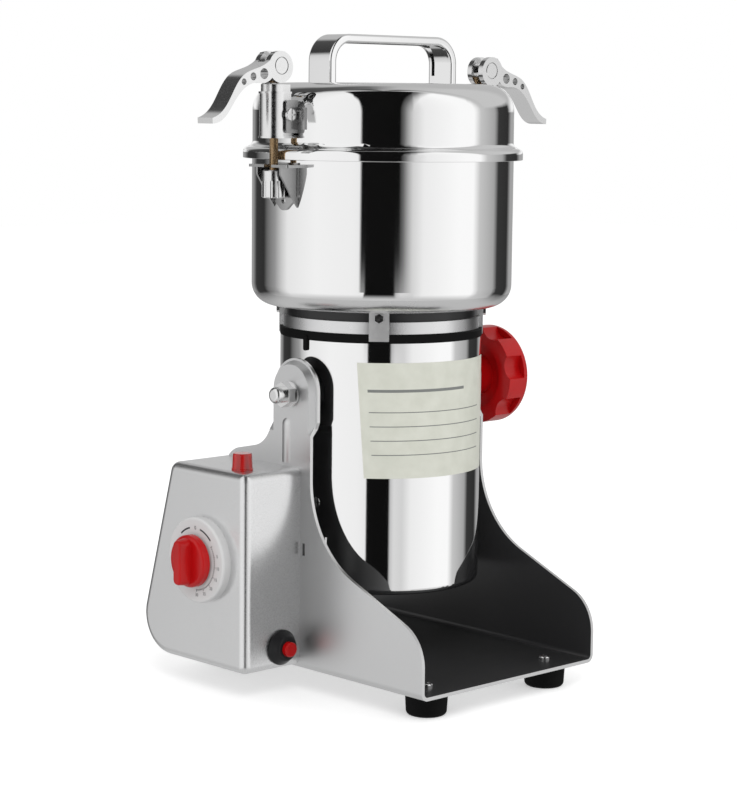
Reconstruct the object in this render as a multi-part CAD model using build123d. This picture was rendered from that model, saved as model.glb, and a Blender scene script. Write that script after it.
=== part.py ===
from build123d import *
from math import atan, cos, degrees, hypot, radians, sin, sqrt, tan
import os

# Electric grain mill: a steel grinding bowl with a clamped lid on top of a motor
# barrel, which tilts forward between the two side walls of a folded sheet base.
#
# Working frame: +Z up, X along the tilt axis with the control box on the -X side,
# -Y towards the open front of the base, origin on the floor under the barrel's axis.
# When the pieces are written, they are shifted so that the origin is the centre of
# the bottom of the overall box.  All lengths are millimetres.

# ---------------------------------------------------------------- clearances
FIT = 0.05              # gap round a piece that is pressed or seated
RUN = 0.08              # radial gap of a pin or shaft that turns or slides
SIDE = 0.3              # gap beside flat faces that pass each other

# ---------------------------------------------------------------- base
FOOT_H = 13.4
FOOT_TOP_R = 12.0
FOOT_BOTTOM_R = 11.2
FOOT_EDGE_R = 2.4
FOOT_FROM_WALL = 21.6   # foot axis in from the wall's outer face
FOOT_FROM_EDGE = 18.0   # foot axis in from the base's front or rear edge
FOOT_BORE_UP = 4.0      # rubber left under the foot's screw hole
SHEET = 2.0             # thickness of the folded base
BASE_FRONT_Y = -107.0
BASE_REAR_Y = 84.0
BEND_R = 4.5            # outer radius of the fold between floor and wall
FRONT_EDGE_H = 33.6     # where the upright front edge and the slope would meet
FRONT_EDGE_R = 24.0
THROAT_H = 72.4         # where the slope and the upright would meet
THROAT_R = 56.0
UPRIGHT_HALF_W = 16.5   # the upright that carries the ear
NOTCH_R = 18.0
NOTCH_RISE = 7.9        # from the shoulder up to where its slope meets the upright
SHOULDER_Y = 54.0
SHOULDER_DROP = 18.8    # from the ear's jog down to the rear shoulder
SHOULDER_R = 16.0
REAR_EDGE_H = 21.3
REAR_EDGE_R = 10.0

PIVOT_H = 156.4         # tilt axis above the base's underside
EAR_R = 18.0            # rim of the ear
EAR_RISE = 1.8          # the ear's round top is centred this far above the tilt axis
EAR_NECK = 18.6         # from the tilt axis down to where the sheet steps out of the ear
EAR_GAP = 5.6           # between the barrel and the ear's rim
EAR_STEP = 3.8          # how far the rim lies inside the wall's outer face
EAR_MARGIN = 3.3        # rim left round the pressed boss
EAR_FLANK = 2.0         # slope of the boss's flank, seen from the side
EAR_TAPER_H = 3.5       # height over which the ear's front edge narrows to the upright
JOG_H = 4.5             # height of the slanted step under the ear
RIB_Y = 3.5
RIB_W = 7.0
RIB_H = 1.2
RIB_LOW_DROP = 39.1     # rib's ends below the tilt axis
RIB_TOP_DROP = 14.1
WALL_SLOT_W = 2.0       # cable slot in the left wall, just in front of the control box
WALL_SLOT_L = 7.0
WALL_SLOT_H = 69.3
WALL_SLOT_GAP = 2.0
BUSH_R = 6.5
BUSH_FLANGE_R = 11.0
FLOOR_SCREW_R = 2.0
SCREW_HEAD_R = 3.6
SCREW_HEAD_H = 1.8

# ---------------------------------------------------------------- control box
BOX_W = 40.8            # from the wall's outer face
BOX_FRONT_Y = -8.6
BOX_BOTTOM_H = 2.2
BOX_UNDER_SHOULDER = 3.6  # box top below the wall's shoulder
BOX_REAR_TOP_Y = 57.3
BOX_REAR_BOTTOM_Y = 89.2
BOX_REAR_R = 22.0
BOX_EDGE_R = 5.0
BOX_WALL = 1.2
BOX_SCREW_HEAD_R = 3.0
BOX_SCREW_HEAD_H = 1.6
BOX_SCREW_R = 1.6
BOX_SCREW_L = 8.5
BOX_LUG_R = 5.0
BOX_LUG_L = 8.0
BOX_LUG_WEB = 3.0
LUG_FRONT_UP = 31.0     # front lugs above the box's bottom and below its top
LUG_FRONT_DOWN = 22.7
LUG_REAR_IN = 9.0       # rear lugs in from the box's rear top corner
LUG_REAR_DOWN = 10.0
LUG_LOW_UP = 14.0       # low rear lug above the box's bottom
DIAL_Y = 27.7
DIAL_H = 63.3
DIAL_R = 24.3
DIAL_T = 5.5
DIAL_EDGE_R = 1.4
TIMER_R = 21.0
TIMER_L = 24.0
TIMER_NOSE_WALL = 1.9
TIMER_NOSE_IN = 1.0     # nose ends this far under the dial's face
TIMER_SHAFT_R = 3.0
TIMER_SHAFT_END = 8.0   # shaft's inner end in front of the timer's back
TIMER_KNOB_R = 14.8
TIMER_KNOB_GAP = 1.6    # between the dial and the knob's back
TIMER_KNOB_T = 5.0      # the knob's round part
TIMER_GRIP_T = 7.2      # the grip that stands on it
TIMER_GRIP_W = 8.4
LAMP_IN = 10.9          # lamp's axis in from the box's outer face
LAMP_Y = 6.5
LAMP_R = 6.1
LAMP_H = 9.6
LAMP_BODY_R = 4.6
LAMP_BODY_L = 18.0
LAMP_NUT_AF = 12.0
PANEL_NUT_T = 3.0       # nuts behind the box's walls
BREAKER_OUT = 13.9      # breaker's axis out from the wall's outer face
BREAKER_UP = 12.7       # breaker's axis above the box's bottom
BREAKER_R = 10.0
BREAKER_NOSE_R = 6.6
BREAKER_NOSE_L = 6.0
BREAKER_BODY_R = 7.5
BREAKER_BODY_L = 26.0
BREAKER_LATCH_R = 9.3   # reach of the two snap lugs behind the wall
BREAKER_LATCH_W = 6.0
BREAKER_LATCH_T = 3.0
RESET_R = 4.2
RESET_IN = 6.5          # length of the button behind the breaker's seat
RESET_FREE = 5.0        # bore left behind the pressed button
RESET_OUT = 3.2         # the button stands this far out of the nose
RESET_TRAVEL = 3.0
GLAND_H = 45.0          # height of the cable gland on the box's rear face
GLAND_R = 7.0
GLAND_THREAD_R = 5.5
GLAND_FLANGE_R = 9.0
GLAND_FLANGE_T = 3.5
GLAND_NUT_AF = 15.0
GLAND_BORE_R = 3.6
GLAND_OUT = 12.0
GLAND_IN = 6.0

# ---------------------------------------------------------------- barrel and neck
BARREL_R = 58.2
BARREL_WALL = 1.0
BARREL_BELOW = 113.0    # from the tilt axis down to the barrel's bottom
BARREL_ABOVE = 29.7     # from the tilt axis up to the barrel's rim
BARREL_EDGE_R = 3.6
VENT_R_IN = 22.0
VENT_R_OUT = 42.0
VENT_W = 5.0
VENT_COUNT = 12
EDGING_OVER = 0.3       # edging's outer face beyond the barrel
EDGING_H = 5.0
EDGING_TAB_H = 6.0
EDGING_TAB_W = 3.0
EDGING_TAB_R = 1.2
EDGING_TAB_T = 0.8
SPIGOT_GAP = 0.3        # between the frame's spigot and the barrel
RING_INSET = 1.0        # frame's ring inside the barrel's outer face
RING_H = 6.7
RING_WALL = 4.0
NECK_INSET = 2.5        # neck collar inside the barrel's outer face
NECK_WALL = 5.7
NECK_H = 5.5
STRAP_W = 11.2
STRAP_OVER = 0.4        # straps' outer face beyond the edging
STRAP_LAP = 3.8         # how far a strap hangs over the edging
STRAP_BOLT_AF = 4.6
STRAP_BOLT_R = 1.5
STRAP_BOLT_L = 8.0
STRAP_BOLT_HEAD_T = 1.6
STRAP_BOLT_DROP = 3.0   # bolt axis below the bowl
STUD_R = 4.0
STUD_HEAD_R = 6.5
STUD_HEAD_T = 3.2
CAP_NUT_FLANGE_R = 7.2
CAP_NUT_FLANGE_T = 1.4
CAP_NUT_AF = 12.6
CAP_NUT_HEX_T = 5.6
CAP_NUT_DOME_R = 4.7
CAP_NUT_OUT = 13.4      # from the wall's outer face to the dome's tip
TILT_KNOB_R = 29.3
TILT_KNOB_T = 17.0
TILT_KNOB_GAP = 9.5     # from the wall to the back of the lobed part
TILT_KNOB_HUB_R = 12.0
TILT_KNOB_LOBES = 7
TILT_KNOB_CAP_T = 4.5   # the round front part, without finger hollows
TILT_HOLLOW_R = 9.0
TILT_HOLLOW_DEPTH = 4.0
TILT_KNOB_DISH_R = 20.0
TILT_KNOB_DISH_DEPTH = 3.0
TILT_STUD_LEN = 16.0    # of thread inside the knob's hub

# ---------------------------------------------------------------- motor
SHAFT_R = 5.0
SHAFT_LOW_R = 4.0
UPPER_BEARING_R = 15.0
UPPER_BEARING_T = 9.0
LOWER_BEARING_R = 11.0
LOWER_BEARING_T = 7.0
STATOR_INSET = 10.2     # stator inside the barrel's outer face
STATOR_L = 50.0
STATOR_ABOVE = 36.3     # from the frame's plate down to the stator's top
AIR_GAP = 0.6
STATOR_BACK = 22.0      # iron and coils between the stator's outside and the armature
ARMATURE_SLOTS = 12
ARMATURE_SLOT_W = 1.8
ARMATURE_SLOT_DEPTH = 6.0
BELL_WALL = 4.0
MOTOR_PLATE_T = 4.0
MOTOR_PLATE_GAP = 2.2   # between the lower bracket's plate and the barrel's inside
BRACKET_DROP = 46.0     # from the stator's bottom down to the lower bracket's underside
HUB_R = 20.0
HUB_DROP = 15.0         # hub below the frame's plate
WINDOW_W = 18.0         # openings in the motor's bells
FRAME_WINDOW_H = 16.0
BRACKET_WINDOW_H = 16.0
BRACKET_WINDOW_DROP = 14.0  # from the stator's bottom down to the lower openings
FRAME_SLOT_INSET = 16.0  # middle of the frame's air slots inside the stator's radius
BRACKET_SLOT_INSET = 18.0
MOTOR_SCREW_R = 2.0
MOTOR_SCREW_OUT = 3.6   # motor screws beyond the stator
COIL_GAP = 2.0          # between a coil and the armature
COIL_T = 6.0
COIL_SLOT_IN = 6.0      # the coil slots reach in past the armature's radius
COIL_Y_IN = 17.0
COIL_Y_INSET = 22.0     # coil's outer side inside the stator's radius
COIL_OVERHANG = 8.0
WINDING_INSET = 3.0     # windings' ends inside the armature's radius
WINDING_T = 10.0
COMMUTATOR_R = 14.0
COMMUTATOR_L = 16.0
COMMUTATOR_DROP = 14.0  # from the stator's bottom down to the commutator
FAN_INSET = 7.0         # fan inside the stator's radius
FAN_HUB_R = 12.0
FAN_H = 9.0
FAN_DISC_T = 1.6
FAN_BLADES = 12
FAN_BLADE_T = 1.4
FAN_DROP = 1.5          # below the frame's hub
BRUSH_W = 6.0
BRUSH_H = 8.0
BRUSH_L = 12.0
BRUSH_WALL = 2.0
SPARK_GAP = 0.3

# ---------------------------------------------------------------- bowl and blades
BOWL_R = 75.0
BOWL_WALL = 1.2
BOWL_BOTTOM_T = 1.5
BOWL_H = 87.0
BOWL_CORNER_R = 12.5
BOWL_RIM_OUT = 3.9      # rim's edge beyond the wall
BOWL_HOLE_R = 8.0
SEAL_FLANGE_R = 12.0
SEAL_FLANGE_T = 2.0
LOWER_BLADE_UP = 8.0    # underside of the lower blade above the bowl's bottom
BLADE_T = 2.5
BLADE_GAP = 13.0        # from a blade's tip to the bowl's outer face
BLADE_W = 17.0
BLADE_TIP_LEN = 20.0
BLADE_TIP_W = 6.8
BLADE_TIP_DEG = 22.0
SPACER_R = 9.0
SPACER_H = 12.0
BLADE_NUT_AF = 17.0
BLADE_NUT_H = 9.0
BLADE_BORE_R = 5.0

# ---------------------------------------------------------------- lid
LID_INSET = 0.2         # lid's wall inside the bowl's outer face
LID_WALL = 1.0
LID_SKIRT_OVER = 1.3    # skirt's outer face beyond the bowl's rim
LID_SKIRT_H = 5.9       # up to where the skirt's outer face and its sloping top would meet
LID_STEP_RISE = 1.2     # the sloping top rises this much up to the lid's wall
LID_SKIRT_LAP = 3.3     # skirt below the top of the bowl's rim
LID_H = 42.6            # from the skirt's edge to the top
LID_SHOULDER_R = 15.5
LID_STEP_R = 3.2
GASKET_INSET = 0.4      # gasket's bore inside the lid's wall
GASKET_RIM_GAP = 1.7    # gasket's outside inside the bowl's rim
PLATE_T = 1.0
PLATE_RIM_H = 5.0
HANDLE_HALF_SPAN = 50.0
HANDLE_H = 27.0         # above the lid
HANDLE_W = 19.0
HANDLE_T = 4.8
HANDLE_CORNER_R = 15.5
HANDLE_GROOVE_W = 13.0  # shallow groove along the handle's underside
HANDLE_GROOVE_D = 1.2
HANDLE_FOOT_H = 5.0
HANDLE_EDGE_R = 1.4
HANDLE_SCREW_R = 1.6
HANDLE_SCREW_END = 1.5  # screw's tip below the foot's upper end
HANDLE_WASHER_R = 4.2
HANDLE_WASHER_T = 2.2

# ---------------------------------------------------------------- quick clamps
CLAMP_OUT = 8.2         # rod axis beyond the bowl's wall
SWING_INSET = 3.2       # screws on which the sleeve block swings out, inside the rod axis
SWING_UP = 24.7         # swing axis above the lid skirt's edge
SLEEVE_R = 8.0
SLEEVE_DOWN = 12.8      # below the swing axis
SLEEVE_UP = 12.5        # above the swing axis
SLEEVE_FLAT_IN = 5.4    # face towards the lid, measured from the rod's axis
SLEEVE_FLANGE_R = 8.6   # thin flanges at the sleeve's ends
SLEEVE_FLANGE_T = 1.1
COLLAR_R = 7.3
COLLAR_H = 4.6
CLAMP_ROD_R = 2.4
PIN_R = 4.8
LEVER_HALF_W = 6.25
LEVER_SLOT_HALF_W = 2.75
CAM_R = 8.65
CAM_THROW = 1.3         # how far the rod drops when the lever is raised
CAM_RANGE_DEG = 110.0
CAM_GAP = 0.1
SHELF_T = 1.5
SHELF_OUT = 4.5         # shelf beyond the rod axis
SHELF_HALF_W = 16.5
SHELF_CORNER_R = 1.5
SHELF_BELOW_SKIRT = 2.5  # top of the shelf below the lid's skirt
BRACKET_T = 1.0
BRACKET_HALF_W = 10.8
BRACKET_UP = 1.0        # back plate above the shelf
BRACKET_SIDE_H = 17.5   # straight sides of the back plate, under the shelf's top
BRACKET_H = 27.0        # down to the back plate's point
BRACKET_POINT_R = 5.0
BRACKET_HOLE_R = 1.6
BRACKET_HOLE_H = 20.0
CHEEK_Y = 9.0
CHEEK_T = 1.3
CHEEK_H = 24.0
CHEEK_NOSE_H = 4.0
CHEEK_BELLY_H = 17.0
CHEEK_BELLY_OUT = 3.2
NUT_R = 6.5
NUT_H = 15.4
NUT_GAP = 1.4           # free play under the shelf
NUT_FLUTE_R = 1.2
NUT_NECK_H = 6.0        # smooth upper part of the nut
NUT_FLUTES = 10
CLAMP_EAR_T = 1.5
CLAMP_EAR_INSET = 0.4   # clamp ears' outer edge inside the rod axis
CLAMP_EAR_HALF_H = 10.0
CLAMP_EAR_FOOT = 5.5
CLAMP_EAR_FOOT_T = 1.2
CLAMP_SCREW_R = 1.5
CLAMP_SCREW_TIP_Y = 4.6
# lever, seen from the side: distance out from the pin, height over the pin
LEVER_BACK = [(4.9, 7.2), (8.5, 2.8), (16.4, -1.2), (26.5, -5.0), (33.3, -12.6),
              (39.4, -22.0), (48.9, -28.3)]
LEVER_FRONT = [(48.7, -31.4), (40.7, -28.4), (33.4, -19.6), (26.4, -12.4), (19.8, -9.6),
               (12.4, -9.4), (6.9, -6.6)]
LEVER_HOLES = [(12.6, -4.5, 2.9), (20.3, -6.1, 2.1), (26.9, -9.0, 1.7)]
LEVER_SLOT_OUT = 9.6

# ---------------------------------------------------------------- derived places
BASE_Z = FOOT_H
FLOOR_Z = BASE_Z + SHEET
PIVOT_Z = BASE_Z + PIVOT_H
SPIGOT_R = BARREL_R - BARREL_WALL - SPIGOT_GAP
EDGING_R = BARREL_R + EDGING_OVER
RING_R = BARREL_R - RING_INSET
NECK_R = BARREL_R - NECK_INSET
STRAP_R = EDGING_R + STRAP_OVER
STATOR_R = BARREL_R - STATOR_INSET
ARMATURE_R = STATOR_R - STATOR_BACK
MOTOR_PLATE_R = BARREL_R - BARREL_WALL - MOTOR_PLATE_GAP
FRAME_SLOT_R = STATOR_R - FRAME_SLOT_INSET
BRACKET_SLOT_R = STATOR_R - BRACKET_SLOT_INSET
MOTOR_SCREW_PCR = STATOR_R + MOTOR_SCREW_OUT
COIL_X_IN = ARMATURE_R + COIL_GAP
COIL_X_OUT = COIL_X_IN + COIL_T
COIL_Y_OUT = STATOR_R - COIL_Y_INSET
WINDING_R = ARMATURE_R - WINDING_INSET
FAN_R = STATOR_R - FAN_INSET
BOWL_RIM_R = BOWL_R + BOWL_RIM_OUT
BLADE_LEN = BOWL_R - BLADE_GAP            # from the shaft's axis to the tip
LID_R = BOWL_R - LID_INSET
LID_SKIRT_R = BOWL_RIM_R + LID_SKIRT_OVER
GASKET_R_IN = LID_R - GASKET_INSET
GASKET_R_OUT = BOWL_RIM_R - GASKET_RIM_GAP
CLAMP_X = BOWL_R + CLAMP_OUT
SWING_X = CLAMP_X - SWING_INSET
CLAMP_EAR_OUT = CLAMP_X - CLAMP_EAR_INSET
RIM_IN_X = BARREL_R + EAR_GAP
RIM_OUT_X = RIM_IN_X + SHEET
BASE_HALF_W = RIM_OUT_X + EAR_STEP        # outer face of each side wall
WALL_IN_X = BASE_HALF_W - SHEET
EAR_JOG_H = PIVOT_H - EAR_NECK
JOG_LOW_H = EAR_JOG_H - JOG_H
SHOULDER_H = EAR_JOG_H - SHOULDER_DROP
FOOT_X = BASE_HALF_W - FOOT_FROM_WALL
FOOT_FRONT_Y = BASE_FRONT_Y + FOOT_FROM_EDGE
FOOT_REAR_Y = BASE_REAR_Y - FOOT_FROM_EDGE
BOX_OUT_X = BASE_HALF_W + BOX_W
BOX_TOP_H = SHOULDER_H - BOX_UNDER_SHOULDER
LAMP_X = BOX_OUT_X - LAMP_IN
BREAKER_X = BASE_HALF_W + BREAKER_OUT
BREAKER_H = BOX_BOTTOM_H + BREAKER_UP
BARREL_BOTTOM_Z = PIVOT_Z - BARREL_BELOW
BARREL_TOP_Z = PIVOT_Z + BARREL_ABOVE
RING_Z = BARREL_TOP_Z + EDGING_H
NECK_Z = RING_Z + RING_H
BOWL_Z = NECK_Z + NECK_H
BOWL_FLOOR_Z = BOWL_Z + BOWL_BOTTOM_T
BOWL_TOP_Z = BOWL_Z + BOWL_H
SKIRT_Z = BOWL_TOP_Z - LID_SKIRT_LAP
LID_TOP_Z = SKIRT_Z + LID_H
STEP_OUT_Z = SKIRT_Z + LID_SKIRT_H
STEP_IN_Z = STEP_OUT_Z + LID_STEP_RISE
INNER_PLATE_Z = STEP_IN_Z + LID_STEP_R
PLATE_Z = RING_Z - MOTOR_PLATE_T          # the frame's plate under the ring
STATOR_TOP_Z = PLATE_Z - STATOR_ABOVE
STATOR_Z = STATOR_TOP_Z - STATOR_L
BRACKET_Z = STATOR_Z - BRACKET_DROP
HUB_Z = PLATE_Z - HUB_DROP
UPPER_BEARING_Z = HUB_Z + 0.5
COMMUTATOR_Z = STATOR_Z - COMMUTATOR_DROP - COMMUTATOR_L
FAN_Z = HUB_Z - FAN_DROP - FAN_H
LOWER_BLADE_Z = BOWL_FLOOR_Z + LOWER_BLADE_UP
UPPER_BLADE_Z = LOWER_BLADE_Z + BLADE_T + SPACER_H
SHAFT_TOP_Z = UPPER_BLADE_Z + BLADE_T + BLADE_NUT_H + 2.0
DIAL_Z = BASE_Z + DIAL_H
DIAL_FACE_X = BOX_OUT_X + DIAL_T
SWING_Z = SKIRT_Z + SWING_UP
SLEEVE_FLAT_X = CLAMP_X - SLEEVE_FLAT_IN
SLEEVE_Z = SWING_Z - SLEEVE_DOWN
COLLAR_Z = SWING_Z + SLEEVE_UP
CAM_OFFSET = CAM_THROW / 2                # eccentricity towards the collar at rest
PIN_Z = COLLAR_Z + COLLAR_H + CAM_GAP + CAM_R + CAM_OFFSET
SHELF_Z = SKIRT_Z - SHELF_BELOW_SKIRT - SHELF_T
NUT_Z = SHELF_Z - NUT_GAP - NUT_H


# ---------------------------------------------------------------- helpers
LOW_ALIGN = (Align.CENTER, Align.CENTER, Align.MIN)
TOP_ALIGN = (Align.CENTER, Align.CENTER, Align.MAX)


def outline(*corners):
    """Closed face from (u, v) or (u, v, radius) corners."""
    points = [(corner[0], corner[1]) for corner in corners]
    radii = [corner[2] if len(corner) > 2 else 0 for corner in corners]
    return make_face(FilletPolyline(*points, radius=radii, close=True).edges())


def turned(*corners):
    """Solid of revolution about the barrel's axis from (radius, z) corners."""
    return revolve(Plane.XZ * outline(*corners), Axis.Z)


def tube(r_in, r_out, z_low, z_high):
    return turned((r_in, z_low), (r_out, z_low), (r_out, z_high), (r_in, z_high))


def side_prism(face, x_low, x_high):
    """A (Y, Z) face pushed along X."""
    return extrude(Plane.YZ.offset(x_low) * face, amount=x_high - x_low)


def front_prism(face, y_low, y_high):
    """An (X, Z) face pushed along Y."""
    return extrude(Plane.XZ.offset(-y_high) * face, amount=y_high - y_low)


def block(x_low, x_high, y_low, y_high, z_low, z_high):
    low = (Align.MIN, Align.MIN, Align.MIN)
    return Pos(x_low, y_low, z_low) * Box(x_high - x_low, y_high - y_low, z_high - z_low, align=low)


def rod_z(radius, z_low, z_high, x=0.0, y=0.0):
    return Pos(x, y, z_low) * Cylinder(radius, z_high - z_low, align=LOW_ALIGN)


def rod_x(radius, x_low, x_high, y, z):
    return Pos(x_low, y, z) * Rot(0, 90, 0) * Cylinder(radius, x_high - x_low, align=LOW_ALIGN)


def rod_y(radius, y_low, y_high, x, z):
    return Pos(x, y_low, z) * Rot(-90, 0, 0) * Cylinder(radius, y_high - y_low, align=LOW_ALIGN)


def hex_prism(across_flats, length):
    return extrude(RegularPolygon(across_flats / 2, 6, major_radius=False), amount=length)


def as_compound(shape):
    """One shape of separate solids, from a shape or a list of shapes."""
    pieces = shape if isinstance(shape, list) else [shape]
    return Compound([solid for piece in pieces for solid in piece.solids()])


def to_left(part):
    """Move a piece drawn on the +X side to the -X side."""
    return mirror(part, about=Plane.YZ)


def both_sides(part):
    return Part(children=[]) + [part, to_left(part)]


def around(part, count, start_deg=0.0):
    step = 360 / count
    return [Rot(0, 0, start_deg + step * index) * part for index in range(count)]


# ---------------------------------------------------------------- base pieces
def wall_face():
    """Side view of a wall without its ear, in heights above the base's underside."""
    return outline(
        (BASE_FRONT_Y, 0),
        (BASE_FRONT_Y, FRONT_EDGE_H, FRONT_EDGE_R),
        (-UPRIGHT_HALF_W, THROAT_H, THROAT_R),
        (-UPRIGHT_HALF_W, PIVOT_H),
        (UPRIGHT_HALF_W, PIVOT_H),
        (UPRIGHT_HALF_W, SHOULDER_H + NOTCH_RISE, NOTCH_R),
        (SHOULDER_Y, SHOULDER_H, SHOULDER_R),
        (BASE_REAR_Y, REAR_EDGE_H, REAR_EDGE_R),
        (BASE_REAR_Y, 0),
    )


def ear_face():
    """Side view of the ear's rim: round top, straight rear edge, front edge narrowed at the jog."""
    centre = PIVOT_H + EAR_RISE
    foot = outline(
        (-UPRIGHT_HALF_W, EAR_JOG_H), (-EAR_R, EAR_JOG_H + EAR_TAPER_H), (-EAR_R, centre),
        (EAR_R, centre), (EAR_R, EAR_JOG_H))
    return Pos(0, centre) * Circle(EAR_R) + foot


def boss_face(radius):
    centre, low = PIVOT_H + EAR_RISE, JOG_LOW_H - EAR_FLANK - SHEET
    return Pos(0, centre) * Circle(radius) + outline(
        (-radius, low), (-radius, centre), (radius, centre), (radius, low))


def ear():
    """The right ear, at base height zero: rim, pressed boss and the slanted jog below them."""
    rim = side_prism(ear_face(), RIM_IN_X, RIM_OUT_X)
    flank_deg = degrees(atan(EAR_FLANK / EAR_STEP))
    boss = extrude(Plane.YZ.offset(RIM_OUT_X) * boss_face(EAR_R - EAR_MARGIN + EAR_FLANK),
                   amount=EAR_STEP, taper=flank_deg)
    jog = front_prism(
        outline((RIM_IN_X, EAR_JOG_H), (RIM_OUT_X, EAR_JOG_H + SHEET), (BASE_HALF_W, JOG_LOW_H + SHEET / 2),
                (BASE_HALF_W, JOG_LOW_H - SHEET), (WALL_IN_X, JOG_LOW_H - SHEET), (WALL_IN_X, JOG_LOW_H)),
        -UPRIGHT_HALF_W, EAR_R)
    under_jog = front_prism(
        outline((RIM_IN_X - 1, EAR_JOG_H), (RIM_IN_X, EAR_JOG_H), (WALL_IN_X, JOG_LOW_H),
                (WALL_IN_X, JOG_LOW_H - 4 * SHEET), (RIM_IN_X - 1, JOG_LOW_H - 4 * SHEET)),
        -2 * EAR_R, 2 * EAR_R)
    return rim + (boss - under_jog) + jog


def wall_rib():
    """Raised bead up the outside of the wall under the ear."""
    bead_r = (RIB_W ** 2 / 4 + RIB_H ** 2) / (2 * RIB_H)
    bead_x = BASE_HALF_W + RIB_H - bead_r
    low, top = PIVOT_H - RIB_LOW_DROP, PIVOT_H - RIB_TOP_DROP - RIB_W / 2
    bead = rod_z(bead_r, low, top, bead_x, RIB_Y) + Pos(bead_x, RIB_Y, top) * Sphere(bead_r)
    slab = block(WALL_IN_X, BASE_HALF_W + 2 * RIB_H, RIB_Y - bead_r, RIB_Y + bead_r,
                 low, top + RIB_W / 2 + bead_r)
    return bead & slab


def foot_places():
    return [(x, y) for x in (-FOOT_X, FOOT_X) for y in (FOOT_FRONT_Y, FOOT_REAR_Y)]


def box_lug_places():
    """(y, height) of the four screws that hold the control box to the left wall."""
    front_y = BOX_FRONT_Y + BOX_LUG_R
    return [(front_y, BOX_BOTTOM_H + LUG_FRONT_UP), (front_y, BOX_TOP_H - LUG_FRONT_DOWN),
            (BOX_REAR_TOP_Y - LUG_REAR_IN, BOX_TOP_H - LUG_REAR_DOWN),
            (BOX_REAR_BOTTOM_Y - BOX_REAR_R, BOX_BOTTOM_H + LUG_LOW_UP)]


def base_bracket():
    w, t, top = BASE_HALF_W, SHEET, JOG_LOW_H
    channel = front_prism(
        outline((-w, 0, BEND_R), (w, 0, BEND_R), (w, top), (w - t, top),
                (w - t, t, BEND_R - t), (t - w, t, BEND_R - t), (t - w, top), (-w, top)),
        BASE_FRONT_Y, BASE_REAR_Y)
    body = channel & side_prism(wall_face(), -w - 1, w + 1)
    body = body + both_sides(ear() + wall_rib())
    bush_hole_r = BUSH_R + FIT
    body -= rod_x(bush_hole_r, -w - 2, -RIM_IN_X + 2, 0, PIVOT_H)
    body -= rod_x(bush_hole_r, RIM_IN_X - 2, w + 2, 0, PIVOT_H)
    for x, y in foot_places():
        body -= rod_z(FLOOR_SCREW_R + FIT, -1, t + 1, x, y)
    for y, z in box_lug_places():
        body -= rod_x(BOX_SCREW_R + 0.2, -w - 1, t + 1 - w, y, z)
    slot_y = BOX_FRONT_Y - WALL_SLOT_GAP
    body -= block(-w - 1, t + 1 - w, slot_y - WALL_SLOT_W, slot_y,
                  WALL_SLOT_H - WALL_SLOT_L / 2, WALL_SLOT_H + WALL_SLOT_L / 2)
    return Pos(0, 0, BASE_Z) * body


def feet():
    cone = Pos(0, 0, FOOT_H / 2) * Cone(FOOT_BOTTOM_R, FOOT_TOP_R, FOOT_H)
    cone = fillet(cone.edges().sort_by(Axis.Z)[0], FOOT_EDGE_R)
    cone -= rod_z(FLOOR_SCREW_R + FIT, FOOT_BORE_UP, FOOT_H + 1)
    return [Pos(x, y, 0) * cone for x, y in foot_places()]


def pan_screw(shank_r, length, head_r=SCREW_HEAD_R, head_h=SCREW_HEAD_H):
    """Head above z = 0, shank below it."""
    head = fillet(rod_z(head_r, 0, head_h).edges().sort_by(Axis.Z)[-1], head_h * 0.45)
    head -= block(-head_r, head_r, -0.4, 0.4, head_h * 0.6, head_h + 1)
    head -= block(-0.4, 0.4, -head_r, head_r, head_h * 0.6, head_h + 1)
    return head + rod_z(shank_r, -length, 0.1)


def foot_screws():
    length = FOOT_H + SHEET - FOOT_BORE_UP - 1.0
    return [Pos(x, y, FLOOR_Z) * pan_screw(FLOOR_SCREW_R, length) for x, y in foot_places()]


def ear_bushes():
    """Plastic bushes pressed in the ears, which the pivot studs turn in."""
    sleeve = rod_x(BUSH_R, RIM_IN_X, BASE_HALF_W, 0, PIVOT_Z)
    flange = rod_x(BUSH_FLANGE_R, BARREL_R + SIDE, RIM_IN_X, 0, PIVOT_Z)
    bore = rod_x(STUD_R + RUN, BARREL_R, BASE_HALF_W + 1, 0, PIVOT_Z)
    return both_sides(sleeve + flange - bore)


# ---------------------------------------------------------------- control box
def box_face(inset=0.0):
    """Side view of the control box, heights above the base's underside."""
    slope = (BOX_REAR_BOTTOM_Y - BOX_REAR_TOP_Y) / (BOX_TOP_H - BOX_BOTTOM_H)
    slant_inset = inset * hypot(1, slope)
    low, high = BOX_BOTTOM_H + inset, BOX_TOP_H - inset
    rear_low = BOX_REAR_BOTTOM_Y - slope * inset - slant_inset
    rear_high = BOX_REAR_TOP_Y + slope * inset - slant_inset
    edge_r = BOX_EDGE_R - inset
    return outline((BOX_FRONT_Y + inset, low, edge_r), (rear_low, low, BOX_REAR_R - inset),
                   (rear_high, high, edge_r + 1), (BOX_FRONT_Y + inset, high, edge_r))


def gland_plane():
    """Plane on the box's slanted rear face, normal outwards."""
    slope = (BOX_REAR_BOTTOM_Y - BOX_REAR_TOP_Y) / (BOX_TOP_H - BOX_BOTTOM_H)
    y = BOX_REAR_BOTTOM_Y - slope * (GLAND_H - BOX_BOTTOM_H)
    middle_x = (BOX_OUT_X + BASE_HALF_W) / 2
    return Plane(origin=(middle_x, y, GLAND_H), x_dir=(1, 0, 0), z_dir=(0, 1, slope))


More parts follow.
